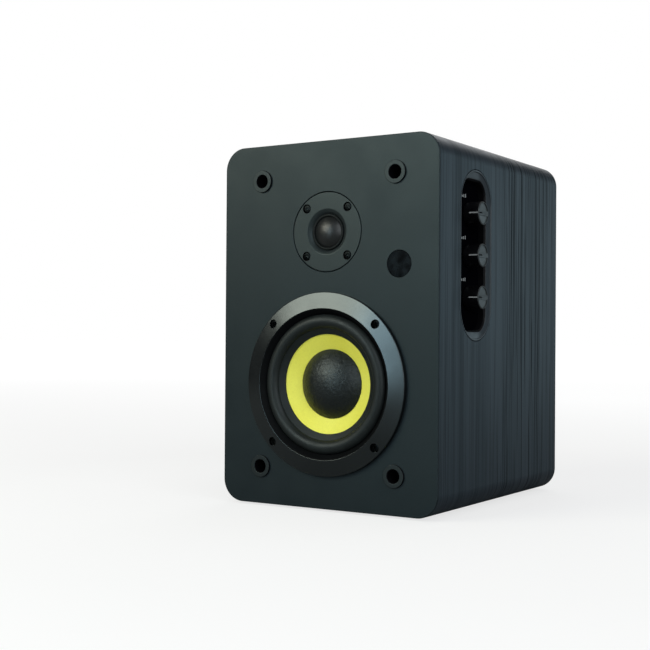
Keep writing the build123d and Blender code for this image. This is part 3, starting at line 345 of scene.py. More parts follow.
class Finish:
    """A Principled material with procedural layers, in the object's own coordinates."""

    def __init__(self, name, **values):
        self.material = bpy.data.materials.new(name)
        self.material.use_nodes = True
        self.tree = self.material.node_tree
        self.tree.nodes.clear()
        inputs = {key.replace("_", " "): value for key, value in values.items()}
        self.shader = self.node("BsdfPrincipled", inputs)
        self.node("OutputMaterial", {0: self.shader.outputs[0]})
        self.place = self.node("TexCoord", {}).outputs["Object"]
        self.normal = None

    def node(self, kind, inputs, **settings):
        """A new node with its settings, and with its inputs given by name or number."""
        made = self.tree.nodes.new(f"ShaderNode{kind}")
        for name, value in settings.items():
            setattr(made, name, value)
        for socket, value in inputs.items():
            self.feed(made.inputs[socket], value)
        return made

    def feed(self, socket, value):
        """Links an output to a socket, or sets a plain value on it."""
        if isinstance(value, bpy.types.NodeSocket):
            self.tree.links.new(value, socket)
        else:
            socket.default_value = value

    def spread(self, stretch):
        """The object's coordinates in metres, times one scale for all axes or one for each."""
        scale = stretch * 3 if len(stretch) == 1 else stretch
        return self.node("Mapping", {"Vector": self.place, "Scale": scale}).outputs[0]

    def noise(self, *stretch, detail=3.0, rough=0.55, warp=0.0):
        """Cloudy noise, with its scale in cells per metre."""
        inputs = {"Scale": 1.0, "Detail": detail, "Roughness": rough, "Distortion": warp}
        return self.node("TexNoise", {"Vector": self.spread(stretch), **inputs}).outputs[0]

    def cells(self, *stretch, feature="F1", warp=None):
        """Distance to the nearest cell centre or edge, in cells."""
        place = self.spread(stretch)
        if warp is not None:
            place = self.mixed(0.25, place, warp, "ADD")
        return self.node("TexVoronoi", {"Vector": place, "Scale": 1.0}, feature=feature).outputs[0]

    def along(self, axis):
        """The object's coordinate along an axis, in metres."""
        return self.node("SeparateXYZ", {0: self.place}).outputs[axis.upper()]

    def stripes(self, axis, pitch):
        """A sine wave along an axis, from 0 to 1, with its pitch in millimetres."""
        turn = self.maths("MULTIPLY", self.along(axis), 2 * pi / (pitch * MM))
        return self.maths("MULTIPLY_ADD", self.maths("SINE", turn), 0.5, 0.5)

    def distance(self):
        """Metres from the object's origin."""
        return self.node("VectorMath", {0: self.place}, operation="LENGTH").outputs["Value"]

    def in_view(self, value):
        """A value that only the camera sees, and that lights nothing."""
        return self.maths("MULTIPLY", value, self.node("LightPath", {}).outputs["Is Camera Ray"])

    def maths(self, operation, *values):
        """One step of arithmetic."""
        return self.node("Math", dict(enumerate(values)), operation=operation).outputs[0]

    def span(self, value, low, high, start=0.3, end=0.7):
        """Takes a value's range from start to end onto low to high."""
        inputs = {"Value": value, "From Min": start, "From Max": end, "To Min": low, "To Max": high}
        return self.node("MapRange", inputs).outputs[0]

    def ramp(self, value, *stops):
        """Colours at places along a value."""
        made = self.node("ValToRGB", {0: value})
        elements = made.color_ramp.elements
        while len(elements) < len(stops):
            elements.new(0.5)
        for element, (at, colour) in zip(elements, stops):
            element.position = at
            element.color = (*colour, 1)
        return made.outputs[0]

    def greys(self, value, *stops):
        """Shades of grey at places along a value."""
        return self.ramp(value, *((at, (grey, grey, grey)) for at, grey in stops))

    def tones(self, value, colour, dark, light):
        """A colour that goes from darker to lighter along a value."""
        return self.ramp(value, (0.3, tint(colour, dark)), (0.7, tint(colour, light)))

    def mixed(self, share, one, two, kind="MIX"):
        """Two colours mixed."""
        return self.node("Mix", {0: share, 6: one, 7: two}, data_type="RGBA", blend_type=kind).outputs[2]

    def bump(self, height, depth, strength=1.0):
        """Relief on the surface, with its depth in millimetres. Layers add up."""
        inputs = {"Strength": strength, "Distance": depth * MM, "Height": height}
        if self.normal is not None:
            inputs["Normal"] = self.normal
        self.normal = self.node("Bump", inputs).outputs[0]
        self.feed(self.shader.inputs["Normal"], self.normal)

    def colour(self, body, detail=None, share=1.0):
        """The base colour, which a share of finer detail multiplies."""
        if detail is not None:
            body = self.mixed(share, body, detail, "MULTIPLY")
        self.feed(self.shader.inputs["Base Color"], body)

    def roughness(self, value, low, high, start=0.3, end=0.7):
        """The roughness, from low to high as a value goes from start to end."""
        self.feed(self.shader.inputs["Roughness"], self.span(value, low, high, start, end))


def tint(colour, factor):
    """A colour made lighter or darker."""
    return tuple(c * factor for c in colour)


# where the wrap's grain starts and ends along the depth, in metres
GRAIN_START, GRAIN_END = -0.096, 0.096


def moulded(name, colour, rough=0.45, grain=900.0, depth=0.02, spread=0.2, **values):
    """Moulded plastic or paint: a cloudy tone, a fine grain, and handling marks in the gloss."""
    look = Finish(name, **values)
    clouds = look.noise(30.0, detail=4)
    speckle = look.noise(grain, detail=2)
    body = look.tones(clouds, colour, 1 - spread, 1 + spread)
    fine = look.greys(speckle, (0.35, 0.8), (0.65, 1))
    look.colour(body, fine, 0.5)
    smears = look.noise(70.0, 70.0, 160.0, detail=5, warp=0.6)
    look.roughness(smears, rough - 0.07, rough + 0.09)
    look.bump(speckle, depth, 0.6)
    return look.material


def metal(name, colour, rough=0.3, brushed=(60.0, 1800.0, 60.0), depth=0.004):
    """Bare or plated metal: fine lines or grain, and stains in the gloss."""
    look = Finish(name, Metallic=1.0)
    lines = look.noise(*brushed, detail=3)
    stains = look.noise(55.0, detail=5, rough=0.65)
    look.colour(look.tones(stains, colour, 0.72, 1))
    look.roughness(look.mixed(0.5, lines, stains), rough - 0.08, rough + 0.14)
    look.bump(lines, depth, 0.7)
    return look.material


def vinyl_wrap():
    """Black ash foil: long grain that runs round the cabinet. Its dark lines crowd behind the middle."""
    look = Finish("vinyl_wrap", Specular_Tint=(0.68, 0.9, 1.0, 1))
    bands = look.noise(1.2, 38.0, 1.2, detail=2)
    lines = look.noise(6.0, 600.0, 6.0, detail=2, rough=0.6, warp=0.08)
    veins = look.noise(3.0, 190.0, 3.0, detail=3, rough=0.6, warp=0.1)
    hairs = look.noise(14.0, 1500.0, 14.0, detail=2)
    depth = look.span(look.along("y"), 0, 1, GRAIN_START, GRAIN_END)
    crowd = look.greys(depth, (0.0, 0.5), (0.2, 0.38), (0.4, 0.4), (0.52, 1), (0.86, 0.9), (1.0, 0.4))
    thin = look.greys(lines, (0.41, 1), (0.47, 0))
    wide = look.greys(veins, (0.34, 1), (0.42, 0))
    dark = look.maths("MAXIMUM", look.maths("MULTIPLY", thin, crowd), look.maths("MULTIPLY", wide, 0.22))
    tone = look.maths("MULTIPLY_ADD", veins, 0.5, look.maths("MULTIPLY", bands, 0.5))
    grain = look.ramp(tone, (0.38, (0.012, 0.018, 0.025)), (0.62, (0.018, 0.026, 0.036)))
    fine = look.greys(hairs, (0.34, 0.6), (0.5, 1))
    body = look.mixed(0.6, grain, fine, "MULTIPLY")
    look.colour(look.mixed(look.maths("MULTIPLY", dark, 0.9), body, (0.002, 0.003, 0.004, 1)))
    look.feed(look.shader.inputs["Specular IOR Level"], look.span(dark, 0.47, 0.06, 0.0, 1.0))
    look.roughness(tone, 0.52, 0.44, 0.4, 0.6)
    look.bump(hairs, 0.03, 0.5)
    look.bump(lines, 0.02, 0.4)
    return look.material


def baffle_paint(name="baffle_paint", colour=(0.0065, 0.010, 0.0125), rough=0.44):
    """Matte charcoal paint with a faint orange-peel surface."""
    look = Finish(name, Specular_IOR_Level=0.3, Specular_Tint=(0.78, 0.97, 1.0, 1))
    clouds = look.noise(14.0, detail=3)
    peel = look.noise(420.0, detail=2)
    dust = look.noise(2600.0, detail=1)
    body = look.tones(clouds, colour, 0.9, 1.1)
    specks = look.greys(dust, (0.3, 0.75), (0.7, 1.25))
    look.colour(body, specks, 0.6)
    look.roughness(look.noise(45.0, detail=5), rough - 0.04, rough + 0.05)
    look.bump(peel, 0.03, 0.35)
    look.bump(dust, 0.008, 0.5)
    return look.material


def ring_paint():
    """Satin gunmetal paint with fine metal flakes."""
    look = Finish("ring_paint", Specular_IOR_Level=0.7, Specular_Tint=(0.84, 0.96, 1.0, 1))
    flakes = look.noise(3200.0, detail=1)
    clouds = look.noise(25.0, detail=3)
    body = look.ramp(clouds, (0.3, (0.0025, 0.003, 0.0035)), (0.7, (0.004, 0.0045, 0.005)))
    glitter = look.greys(flakes, (0.3, 0.7), (0.72, 1.4))
    look.colour(body, glitter, 0.7)
    look.roughness(look.noise(60.0, detail=4), 0.19, 0.25)
    look.bump(flakes, 0.005, 0.5)
    return look.material


def rubber(name, colour, rough=0.6, dust=0.25):
    """Soft black rubber with a fine grain and a little pale dust."""
    look = Finish(name, Specular_IOR_Level=0.32, Specular_Tint=(0.86, 0.94, 0.96, 1))
    grain = look.noise(1500.0, detail=2)
    film = look.noise(90.0, detail=6, rough=0.7)
    pale = tint(colour, 1 + 3 * dust)
    look.colour(look.ramp(film, (0.42, colour), (0.75, pale)))
    look.roughness(film, rough - 0.08, rough + 0.08)
    look.bump(grain, 0.015, 0.5)
    return look.material


def cone_fibre():
    """Lemon-yellow pressed fibre: short fibres in all directions and a slightly uneven coat."""
    look = Finish("cone_fibre", Specular_IOR_Level=0.35)
    clouds = look.noise(38.0, detail=4)
    fibres = look.noise(700.0, detail=4, rough=0.7, warp=1.5)
    body = look.ramp(clouds, (0.3, (0.84, 0.79, 0.09)), (0.7, (0.89, 0.86, 0.13)))
    strands = look.ramp(fibres, (0.35, (0.88, 0.86, 0.8)), (0.62, (1, 1, 1)))
    look.colour(body, strands, 0.6)
    look.roughness(fibres, 0.46, 0.6)
    look.bump(fibres, 0.03, 0.5)
    return look.material


def crinkled_cap():
    """A black treated-paper cap with a leathery, crinkled skin."""
    look = Finish("crinkled_cap", Specular_IOR_Level=0.42, Specular_Tint=(0.85, 0.97, 1.0, 1))
    wander = look.noise(110.0, detail=3)
    folds = look.cells(230.0, feature="DISTANCE_TO_EDGE", warp=wander)
    creases = look.noise(300.0, detail=4, rough=0.6, warp=2.5)
    look.colour(look.ramp(creases, (0.35, (0.003, 0.004, 0.004)), (0.65, (0.007, 0.008, 0.008))))
    look.roughness(creases, 0.34, 0.48)
    look.bump(look.greys(folds, (0.0, 0), (0.3, 1)), 0.16, 0.45)
    look.bump(creases, 0.3, 0.6)
    return look.material


def doped_silk():
    """Woven silk under a thin glossy dope."""
    look = Finish("doped_silk", Specular_IOR_Level=0.5)
    weave = look.maths("MULTIPLY", look.stripes("x", 0.34), look.stripes("z", 0.34))
    clouds = look.noise(160.0, detail=4)
    look.colour(look.ramp(clouds, (0.3, (0.003, 0.004, 0.004)), (0.7, (0.006, 0.007, 0.008))))
    look.roughness(weave, 0.34, 0.46, 0.0, 1.0)
    look.bump(weave, 0.03, 0.5)
    return look.material


def smoked_lens():
    """Dark smoked plastic with a high polish, a few fine scratches and a mottled body whose lighter patches
    are painted reflection from inside the window.
    """
    look = Finish("smoked_lens", Specular_IOR_Level=0.3)
    mottle_and_reflection = look.noise(130.0, detail=4, warp=0.8)
    scratches = look.noise(90.0, 1.0, 2400.0, detail=2)
    # the mottle's lighter patches are painted reflection
    look.colour(look.ramp(mottle_and_reflection, (0.4, (0.002, 0.0028, 0.0035)), (0.65, (0.009, 0.0125, 0.015))))
    look.roughness(scratches, 0.05, 0.2, 0.55, 0.8)
    look.bump(mottle_and_reflection, 0.02, 0.2)
    return look.material


def woven(name, colour, pitch):
    """Plain woven cloth, stiffened with resin."""
    look = Finish(name, Sheen_Weight=0.2, Specular_IOR_Level=0.3)
    threads = look.maths("MAXIMUM", look.stripes("x", pitch), look.stripes("z", pitch))
    clouds = look.noise(120.0, detail=4)
    dyed = look.tones(clouds, colour, 0.75, 1.15)
    gaps = look.greys(threads, (0.25, 0.4), (0.8, 1))
    look.colour(dyed, gaps, 0.8)
    look.roughness(threads, 0.7, 0.85, 0.0, 1.0)
    look.bump(threads, 0.08, 0.6)
    return look.material


def ridged(name, colour, axis, pitch, rough=0.35):
    """Wound wire or stacked sheets: ridges at an even pitch, with uneven tone."""
    look = Finish(name, Metallic=1.0)
    ridges = look.stripes(axis, pitch)
    stains = look.noise(80.0, detail=5)
    body = look.tones(stains, colour, 0.65, 1)
    gaps = look.greys(ridges, (0.1, 0.35), (0.6, 1))
    look.colour(body, gaps, 0.8)
    look.roughness(stains, rough - 0.08, rough + 0.15)
    look.bump(ridges, 0.08, 0.8)
    return look.material


def foam():
    """Open-cell acoustic foam."""
    look = Finish("foam", Specular_IOR_Level=0.15)
    pits = look.cells(650.0)
    clouds = look.noise(60.0, detail=4)
    body = look.ramp(clouds, (0.3, (0.022, 0.022, 0.024)), (0.7, (0.045, 0.045, 0.048)))
    holes = look.greys(pits, (0.1, 0.2), (0.5, 1))
    look.colour(body, holes, 0.9)
    look.roughness(pits, 0.95, 0.85, 0.0, 0.8)
    look.bump(pits, 0.5, 0.8)
    return look.material


def circuit_board():
    """Green solder mask over copper tracks, with tinned pads."""
    look = Finish("circuit_board", Specular_IOR_Level=0.5)
    tracks = look.cells(190.0, 190.0, 240.0, feature="DISTANCE_TO_EDGE")
    pads = look.cells(240.0)
    mask = look.ramp(tracks, (0.05, (0.012, 0.085, 0.035)), (0.09, (0.006, 0.045, 0.020)))
    tinned = look.greys(pads, (0.10, 1), (0.13, 0))
    look.colour(look.mixed(tinned, mask, (0.45, 0.45, 0.42, 1)))
    look.roughness(look.noise(300.0), 0.3, 0.45)
    look.bump(tracks, 0.1, 0.3)
    return look.material


def fibreboard():
    """Painted fibreboard: soft fibres under black paint."""
    look = Finish("fibreboard", Specular_IOR_Level=0.3)
    fibres = look.noise(500.0, detail=5, rough=0.7, warp=0.8)
    clouds = look.noise(20.0, detail=3)
    body = look.ramp(clouds, (0.3, (0.013, 0.014, 0.015)), (0.7, (0.019, 0.020, 0.022)))
    nap = look.greys(fibres, (0.3, 0.7), (0.7, 1.2))
    look.colour(body, nap, 0.7)
    look.roughness(fibres, 0.6, 0.8)
    look.bump(fibres, 0.1, 0.5)
    return look.material


VINYL = vinyl_wrap()
PAINT = baffle_paint()
RING = ring_paint()
# near-black for the trim ring's inner side and the surround's outer lip: painted shade in the well round the
# cone
RING_PAINTED_SHADE = moulded("ring_well_painted_shade", (0.002, 0.0025, 0.003), 0.6, Specular_IOR_Level=0.08)
SURROUND_RUBBER = rubber("surround_rubber", (0.007, 0.009, 0.009), 0.48, 0.15)
ROLL_RUBBER = rubber("tweeter_roll_rubber", (0.001, 0.0015, 0.0015), 0.7, 0.05)
FOOT_RUBBER = rubber("foot_rubber", (0.014, 0.014, 0.014), 0.75, 0.5)
CONE = cone_fibre()
CAP = crinkled_cap()
PLATE = baffle_paint("tweeter_paint", (0.0135, 0.0175, 0.0185), 0.42)
SILK = doped_silk()
LENS = smoked_lens()
BLACK = moulded("black_plastic", (0.012, 0.013, 0.014), 0.42)
SOCKET = baffle_paint("socket_plastic", (0.011, 0.0135, 0.0145), 0.42)
BEZEL = moulded("bezel_plastic", (0.031, 0.041, 0.050), 0.36, grain=1600.0, depth=0.01, spread=0.08)
# near-black for counterbores, socket walls and bores, and the recess wall: painted shade
PAINTED_SHADE = moulded("well_painted_shade", (0.002, 0.002, 0.003), 0.55, Specular_IOR_Level=0.12)
PANEL = moulded("panel_plastic", (0.0015, 0.0015, 0.0025), 0.65, Specular_IOR_Level=0.0)
KNOB = moulded("knob_plastic", (0.002, 0.002, 0.003), 0.3, grain=2200.0, depth=0.004)
# lighter greys for the knobs' top faces and lobe floors: painted light on black knobs
KNOB_TOP_PAINTED_LIGHT = moulded("knob_top_painted_light", (0.028, 0.033, 0.035), 0.42, grain=1800.0, depth=0.01)
KNOB_CAP_PAINTED_LIGHT = moulded("knob_cap_painted_light", (0.044, 0.051, 0.053), 0.4, grain=1800.0, depth=0.01)
MARK = moulded("mark_paint", (0.42, 0.43, 0.43), 0.5, spread=0.12)
SCREW = metal("screw_black", (0.009, 0.011, 0.012), 0.2, brushed=(900.0, 900.0, 900.0), depth=0.02)
NICKEL = metal("jack_nickel", (0.62, 0.60, 0.56), 0.2)
ZINC = metal("steel_zinc", (0.55, 0.56, 0.57), 0.34, brushed=(500.0, 500.0, 500.0), depth=0.02)
SHAFT = metal("shaft_metal", (0.60, 0.60, 0.60), 0.28, brushed=(1500.0, 60.0, 60.0))
POWDER = moulded("amplifier_powder_coat", (0.016, 0.017, 0.018), 0.55, grain=1300.0, depth=0.08)
BOARD = circuit_board()

# ---------------- cabinet and baffle

WIDE, TALL = 2 * SIDE, box("cabinet_shell")[1].z - box("cabinet_shell")[0].z
CORNER, WALL = 15.0, 12.0
CABINET = (0.0, box("cabinet_shell")[0].z + TALL / 2)
SEAM = box("cabinet_shell")[0].y
BEZEL_TALL = box("control_bezel")[1].z - box("control_bezel")[0].z
BEZEL_WIDE = box("control_bezel")[1].y - box("control_bezel")[0].y
WOOFER_SCREW, TWEETER_SCREW, PILOT = 39.0, 15.6, 1.55
AMP_OPENING, AMP_SCREW, PORT_HOLE = (108.0, 116.0, 4.0), (57.0, 61.0), 19.2
FOOT_RADIUS, FOOT_EDGE = 9.0, 0.7
# each seat in the baffle: its rebate's radius and depth, then its hole's radius
WOOFER_SEAT, TWEETER_SEAT = (58.4, 3.0, 48.5), (26.3, 3.0, 19.0)
WINDOW_SEAT, SOCKET_SEAT = (8.75, 2.2, 6.6), (5.6, 4.0, 5.6)


def make_cabinet():
    """The wrapped tube: a ring of wall drawn as (y, inset), with the control recess cut through one side."""
    wall = [(SEAM, 0.0, 0.45), (BACK, 0.0, 0.9), (BACK, WALL, 0.4), (SEAM, WALL, 0.0)]
    sections = []
    for at, inset in rounded(wall, steps=6):
        corner = CORNER - inset
        sections.append((at, rectangle(WIDE - 2 * inset, TALL - 2 * inset, max(corner, 3.0), 20)))
    shell = loft("cabinet_wrap", "y", CABINET, sections, closed=True)
    openings = []
    for at, gap in ((SIDE - WALL - 3, 0.15), (SIDE - 0.6, 0.15), (SIDE + 0.1, 0.6), (SIDE + 3, 2.5)):
        openings.append((at, rectangle(BEZEL_WIDE + 2 * gap, BEZEL_TALL + 2 * gap, BEZEL_WIDE, 24)))
    carve(shell, loft("cutter", "x", CONTROLS, openings))
    dress(shell, VINYL, "wood_wrap", "cabinet_shell")


def stepped_cutter(centre, rebate, depth, hole, lead=0.25):
    """Cuts a hole with a rebate, and breaks its front edge."""
    outline = [
        (FACE - 1, 0), (FACE - 1, rebate + lead + 1), (FACE, rebate + lead), (FACE + lead, rebate),
        (FACE + depth, rebate), (FACE + depth, hole), (FACE + 20, hole), (FACE + 20, 0),
    ]
    return lathe("cutter", "y", centre, outline, False)


def make_baffle():
    """The front board: a thin lip over the tube's end and a body inside it."""
    low, high = box("front_baffle")
    inner = 2 * (WALL + 0.15)
    profile = rounded([(low.y, 4.0), (low.y, 0.0, 0.8), (SEAM, 0.0, 0.3), (SEAM, 4.0)], False, 6)
    sections = [(at, rectangle(WIDE - 2 * d, TALL - 2 * d, CORNER - d, 20)) for at, d in profile]
    sections += [(at, rectangle(WIDE - inner, TALL - inner, 3.0, 20)) for at in (SEAM, high.y)]
    board = loft("front_panel", "y", CABINET, sections)
    cutters = [stepped_cutter(WOOFER, *WOOFER_SEAT), stepped_cutter(TWEETER, *TWEETER_SEAT)]
    cutters.append(stepped_cutter(WINDOW, *WINDOW_SEAT, 0.1))
    cutters += [stepped_cutter(place, *SOCKET_SEAT, 0.1) for place in SOCKETS]
    for place in around(WOOFER, WOOFER_SCREW) + around(TWEETER, TWEETER_SCREW):
        cutters.append(drill("y", place, PILOT, FACE + 1, FACE + 20, 16))
    cut(board, cutters)
    dress(board, PAINT, "baffle_paint", "front_baffle")


def make_rear_panel():
    """The rear board, a little inside the tube's end, with its openings."""
    low, high = box("rear_panel")
    start, end = low.y - 1, high.y + 1
    board = slab("rear_board", "y", CABINET, high.x - low.x, high.z - low.z, 3.0, low.y, high.y, 0.3)
    opening = prism("cutter", "y", AMPLIFIER, rectangle(*AMP_OPENING), start, end)
    port = drill("y", across_front("bass_port_tube"), PORT_HOLE, start, end, 96)
    cut(board, [opening, port])
    dress(board, fibreboard(), "rear_black", "rear_panel")


def make_feet():
    """Four soft discs with a domed edge."""
    low, high = box("rubber_feet")
    outline = [(high.z, 0), (high.z, FOOT_RADIUS)]
    outline += arc((FOOT_EDGE, FOOT_RADIUS - FOOT_EDGE), FOOT_EDGE, 90, 180, 6)
    outline.append((low.z, 0))
    feet = []
    for x in (low.x + FOOT_RADIUS, high.x - FOOT_RADIUS):
        for y in (low.y + FOOT_RADIUS, high.y - FOOT_RADIUS):
            feet.append(lathe("foot", "z", (x, y), outline, False, 64))
    dress(merge("feet", feet), FOOT_RUBBER, "rubber", "rubber_feet")


make_cabinet()
make_baffle()
make_rear_panel()
make_feet()

# ---------------- woofer

RING_EDGE, RING_CREST, RING_FOOT = 59.8, 49.2, 45.6
CONE_EDGE, CONE_NECK, CONE_SLOPE = 32.5, 12.85, 0.552
CAP_RADIUS, CAP_RISE = 22.7, 9.0
RUBBER_THICK = 0.7


def cone_face(radius):
    """Where the cone's front surface is, at a radius."""
    return FACE + 2.2 + CONE_SLOPE * (CONE_EDGE - radius)


def make_ring():
    """The trim ring: a proud outer edge, a broad slope up to the crest, and a steep inner side painted
    near-black as painted shade.
    """
    crest = box("woofer_trim_ring")[0].y
    outline = [
        (FACE, RING_FOOT), (FACE, RING_EDGE), (FACE - 3.2, RING_EDGE, 0.5), (crest, RING_CREST, 0.5),
        (crest + 0.5, RING_CREST - 0.8, 0.4), (FACE - 1.2, RING_FOOT, 0.3),
    ]
    ring = turned("woofer_ring", "y", WOOFER, outline, True, 4, 192)
    head, shank, seat = 3.0, 1.7, FACE - 1.3
    bore = [(FACE - 6, 0), (FACE - 6, head), (seat, head), (seat, shank), (FACE + 1, shank), (FACE + 1, 0)]
    cutters = [turned("cutter", "y", place, bore, sides=64) for place in around(WOOFER, WOOFER_SCREW)]
    cut(ring, cutters)
    dress(ring, RING, "ring_paint", "woofer_trim_ring")
    # the inner side, from the crest inward, is painted near-black: painted shade
    paint_part(ring, RING_PAINTED_SHADE, lambda at: reach_from(at, WOOFER) < RING_CREST - 0.1)


def make_surround():
    """The rubber half roll, with a flat lip outside it and a sloping lip on the cone. The flat outer lip is
    painted near-black as painted shade.
    """
    outer, inner, roll, reach, foot, rim = 4.7, 3.9, 41.0, 45.4, 36.5, 50.0
    back = FACE + 1.8
    centre = (FACE + 0.4, roll)
    lip = back - RUBBER_THICK
    first = degrees(asin((reach - roll) / outer))
    last = 180 + degrees(asin((roll - foot) / outer))
    outline = [(back, rim), (lip + 0.15, rim), (lip, rim - 0.2), (lip, reach + 0.5), (lip - 0.4, reach)]
    outline += arc(centre, outer, 180 - first, last, 44)
    outline += [
        (cone_face(foot) - RUBBER_THICK, foot + 0.1),
        (cone_face(CONE_EDGE) - RUBBER_THICK + 0.1, CONE_EDGE + 0.1),
        (cone_face(CONE_EDGE) - 0.05, CONE_EDGE),
        (cone_face(foot + 0.5), foot + 0.5),
    ]
    outline += arc(centre, inner, 266, 86, 36)
    outline.append((back, reach - 0.8))
    ring = lathe("woofer_roll", "y", WOOFER, outline, steps=192)
    flex(ring, SURROUND_RUBBER, "woofer_surround")
    # the flat outer lip is painted near-black: painted shade under the ring
    paint_part(ring, RING_PAINTED_SHADE, lambda at: reach_from(at, WOOFER) > reach - 0.1)


def make_cone():
    """The cone's skin, a straight slope from its edge to the neck."""
    edge = 36.2
    reaches = [edge + (CONE_NECK - edge) * i / 24 for i in range(25)]
    front = [(cone_face(r) + 0.05, r) for r in reaches]
    back = [(cone_face(r) + 0.65, r) for r in reversed(reaches)]
    cone = lathe("woofer_cone_skin", "y", WOOFER, front + back, steps=192)
    dress(cone, CONE, "cone_yellow", "woofer_cone", body="woofer_moving")


def make_cap():
    """The dust cap, glued on by a narrow rim."""
    rim = cone_face(CAP_RADIUS)
    outside = cap_arc(rim - CAP_RISE, rim - 0.5, CAP_RADIUS, 48)
    inside = [(at + 0.6, r * 0.965) for at, r in reversed(outside)]
    outline = [(rim - 0.1, CAP_RADIUS - 0.9), (rim - 0.1, CAP_RADIUS), *outside, *inside]
    cap = lathe("woofer_cap", "y", WOOFER, outline, False, 160)
    dress(cap, CAP, "cap_black", "woofer_dust_cap", body="woofer_moving")


def make_spider():
    """The corrugated cloth that centres the coil."""
    first, last, rim, cloth, wave = 14.2, 31.2, 38.2, 0.4, 1.1
    level = box("woofer_spider")[0].y + wave
    front = []
    for r in [CONE_NECK] + [first + (last - first) * i / 60 for i in range(61)] + [rim]:
        share = (r - first) / (last - first)
        rise = -wave * sin(pi * 10 * share) if 0 < share < 1 else 0.0
        front.append((level + rise, r))
    back = [(at + cloth, r) for at, r in reversed(front)]
    disc = lathe("woofer_spider_cloth", "y", WOOFER, front + back, steps=144)
    finish = woven("spider_cloth", (0.42, 0.27, 0.11), 0.9)
    flex(disc, finish, "woofer_spider")


def make_screws(name, places, head, thick, radius, shank, length, turns, node):
    """Four pan-head screws with cross recesses that stopped at different angles."""
    outline = [
        (head, 0), (head, radius, thick * 0.55), (head + thick, radius), (head + thick, shank),
        (head + length - 2, shank, 0.3), (head + length, 0),
    ]
    screws = []
    for place, turn in zip(places, turns):
        recess = cross(radius * 0.56, radius * 0.13, turn)
        cutter = prism("cutter", "y", place, recess, head - 1, head + thick * 0.6)
        screws.append(carve(turned("screw", "y", place, outline), cutter))
    dress(merge(name, screws), SCREW, "screw_black", node)


make_ring()
make_surround()
make_cone()
make_cap()
make_spider()
make_screws(
    "woofer_bolts", around(WOOFER, WOOFER_SCREW), head=FACE - 2.8, thick=1.5, radius=2.7, shank=1.5,
    length=16.0, turns=(12, 51, 74, 33), node="woofer_screws",
)

# ---------------- tweeter

DOME_RADIUS, DOME_RISE, DOME_LEVEL = 10.1, 3.9, FACE + 2.0


def make_tweeter_plate():
    """The flush faceplate with its small dish, throat and counterbored screw holes."""
    low, high = box("tweeter_faceplate")
    edge = (high.x - low.x) / 2
    throat, dish, hub_in, hub_out = 12.0, 14.8, 15.2, 18.5
    bowl = [(FACE + 2.5, throat), (FACE + 2.2, throat, 0.3), (FACE + 0.95, 13.2, 3.0), (FACE, dish, 0.15)]
    outline = rounded(bowl, False, 8)
    outline.append((FACE, dish + 0.5))
    outline += rounded([(FACE, 20.0), (FACE, edge, 0.45), (FACE + 3, edge)], False, 5)
    outline += [(FACE + 3, hub_out), (FACE + 4.2, hub_out), (FACE + 4.2, hub_in), (FACE + 2.5, hub_in)]
    plate = lathe("tweeter_plate", "y", TWEETER, outline, steps=160)
    places = around(TWEETER, TWEETER_SCREW)
    head, shank, seat = 2.9, 1.45, FACE + 1.5
    bore = [
        (FACE - 1, 0), (FACE - 1, head + 1.0), (FACE, head + 0.2), (FACE + 0.2, head), (seat, head),
        (seat, shank), (FACE + 4, shank), (FACE + 4, 0),
    ]
    cut(plate, [lathe("cutter", "y", place, bore, False, 48) for place in places])
    dress(plate, PLATE, "tweeter_plate", "tweeter_faceplate")
    # the counterbores are painted near-black: painted shade round the screw heads
    paint_part(plate, PAINTED_SHADE, lambda at: at.y > FACE + 0.05 and reach_from(at, *places) < head + 0.15)


def make_dome():
    """The soft dome."""
    outside = cap_arc(DOME_LEVEL - DOME_RISE, DOME_LEVEL, DOME_RADIUS, 40)
    inside = [(at + 0.3, r * 0.955) for at, r in reversed(outside)]
    outline = [(DOME_LEVEL + 0.3, DOME_RADIUS - 0.45), (DOME_LEVEL + 0.3, DOME_RADIUS), *outside, *inside]
    dome = lathe("tweeter_silk_dome", "y", TWEETER, outline, False, 128)
    dress(dome, SILK, "silk", "tweeter_dome", body="tweeter_moving")


def make_dome_surround():
    """The dome's small half roll and the flat lip behind the faceplate."""
    roll, outer, inner, rim = 11.0, 0.88, 0.63, 14.8
    top, bottom = DOME_LEVEL + 0.55, DOME_LEVEL + 0.8
    outline = [(DOME_LEVEL + 0.3, roll - inner), (DOME_LEVEL + 0.3, roll - outer)]
    outline += arc((DOME_LEVEL, roll), outer, 270, 90, 20)
    outline += [(top, roll + outer), (top, rim), (bottom, rim), (bottom, roll + inner)]
    outline += arc((DOME_LEVEL, roll), inner, 90, 270, 16)
    ring = lathe("tweeter_roll", "y", TWEETER, outline, steps=128)
    flex(ring, ROLL_RUBBER, "tweeter_surround")


make_tweeter_plate()
make_dome()
make_dome_surround()
make_screws(
    "tweeter_bolts", around(TWEETER, TWEETER_SCREW), head=FACE + 0.4, thick=1.1, radius=2.5, shank=1.3,
    length=12.0, turns=(40, 8, 63, 22), node="tweeter_screws",
)

# ---------------- window and grille sockets


def make_window():
    """The receiver window: a slightly domed smoked disc."""
    low, high = box("ir_window")
    radius = (high.x - low.x) / 2
    outline = [(high.y, 0), (high.y, radius), (low.y + 0.35, radius), (low.y + 0.2, radius - 0.15)]
    outline += cap_arc(low.y, low.y + 0.2, radius - 0.16, 12)
    disc = lathe("receiver_window", "y", WINDOW, outline, False, 96)
    dress(disc, LENS, "smoke_lens", "ir_window")


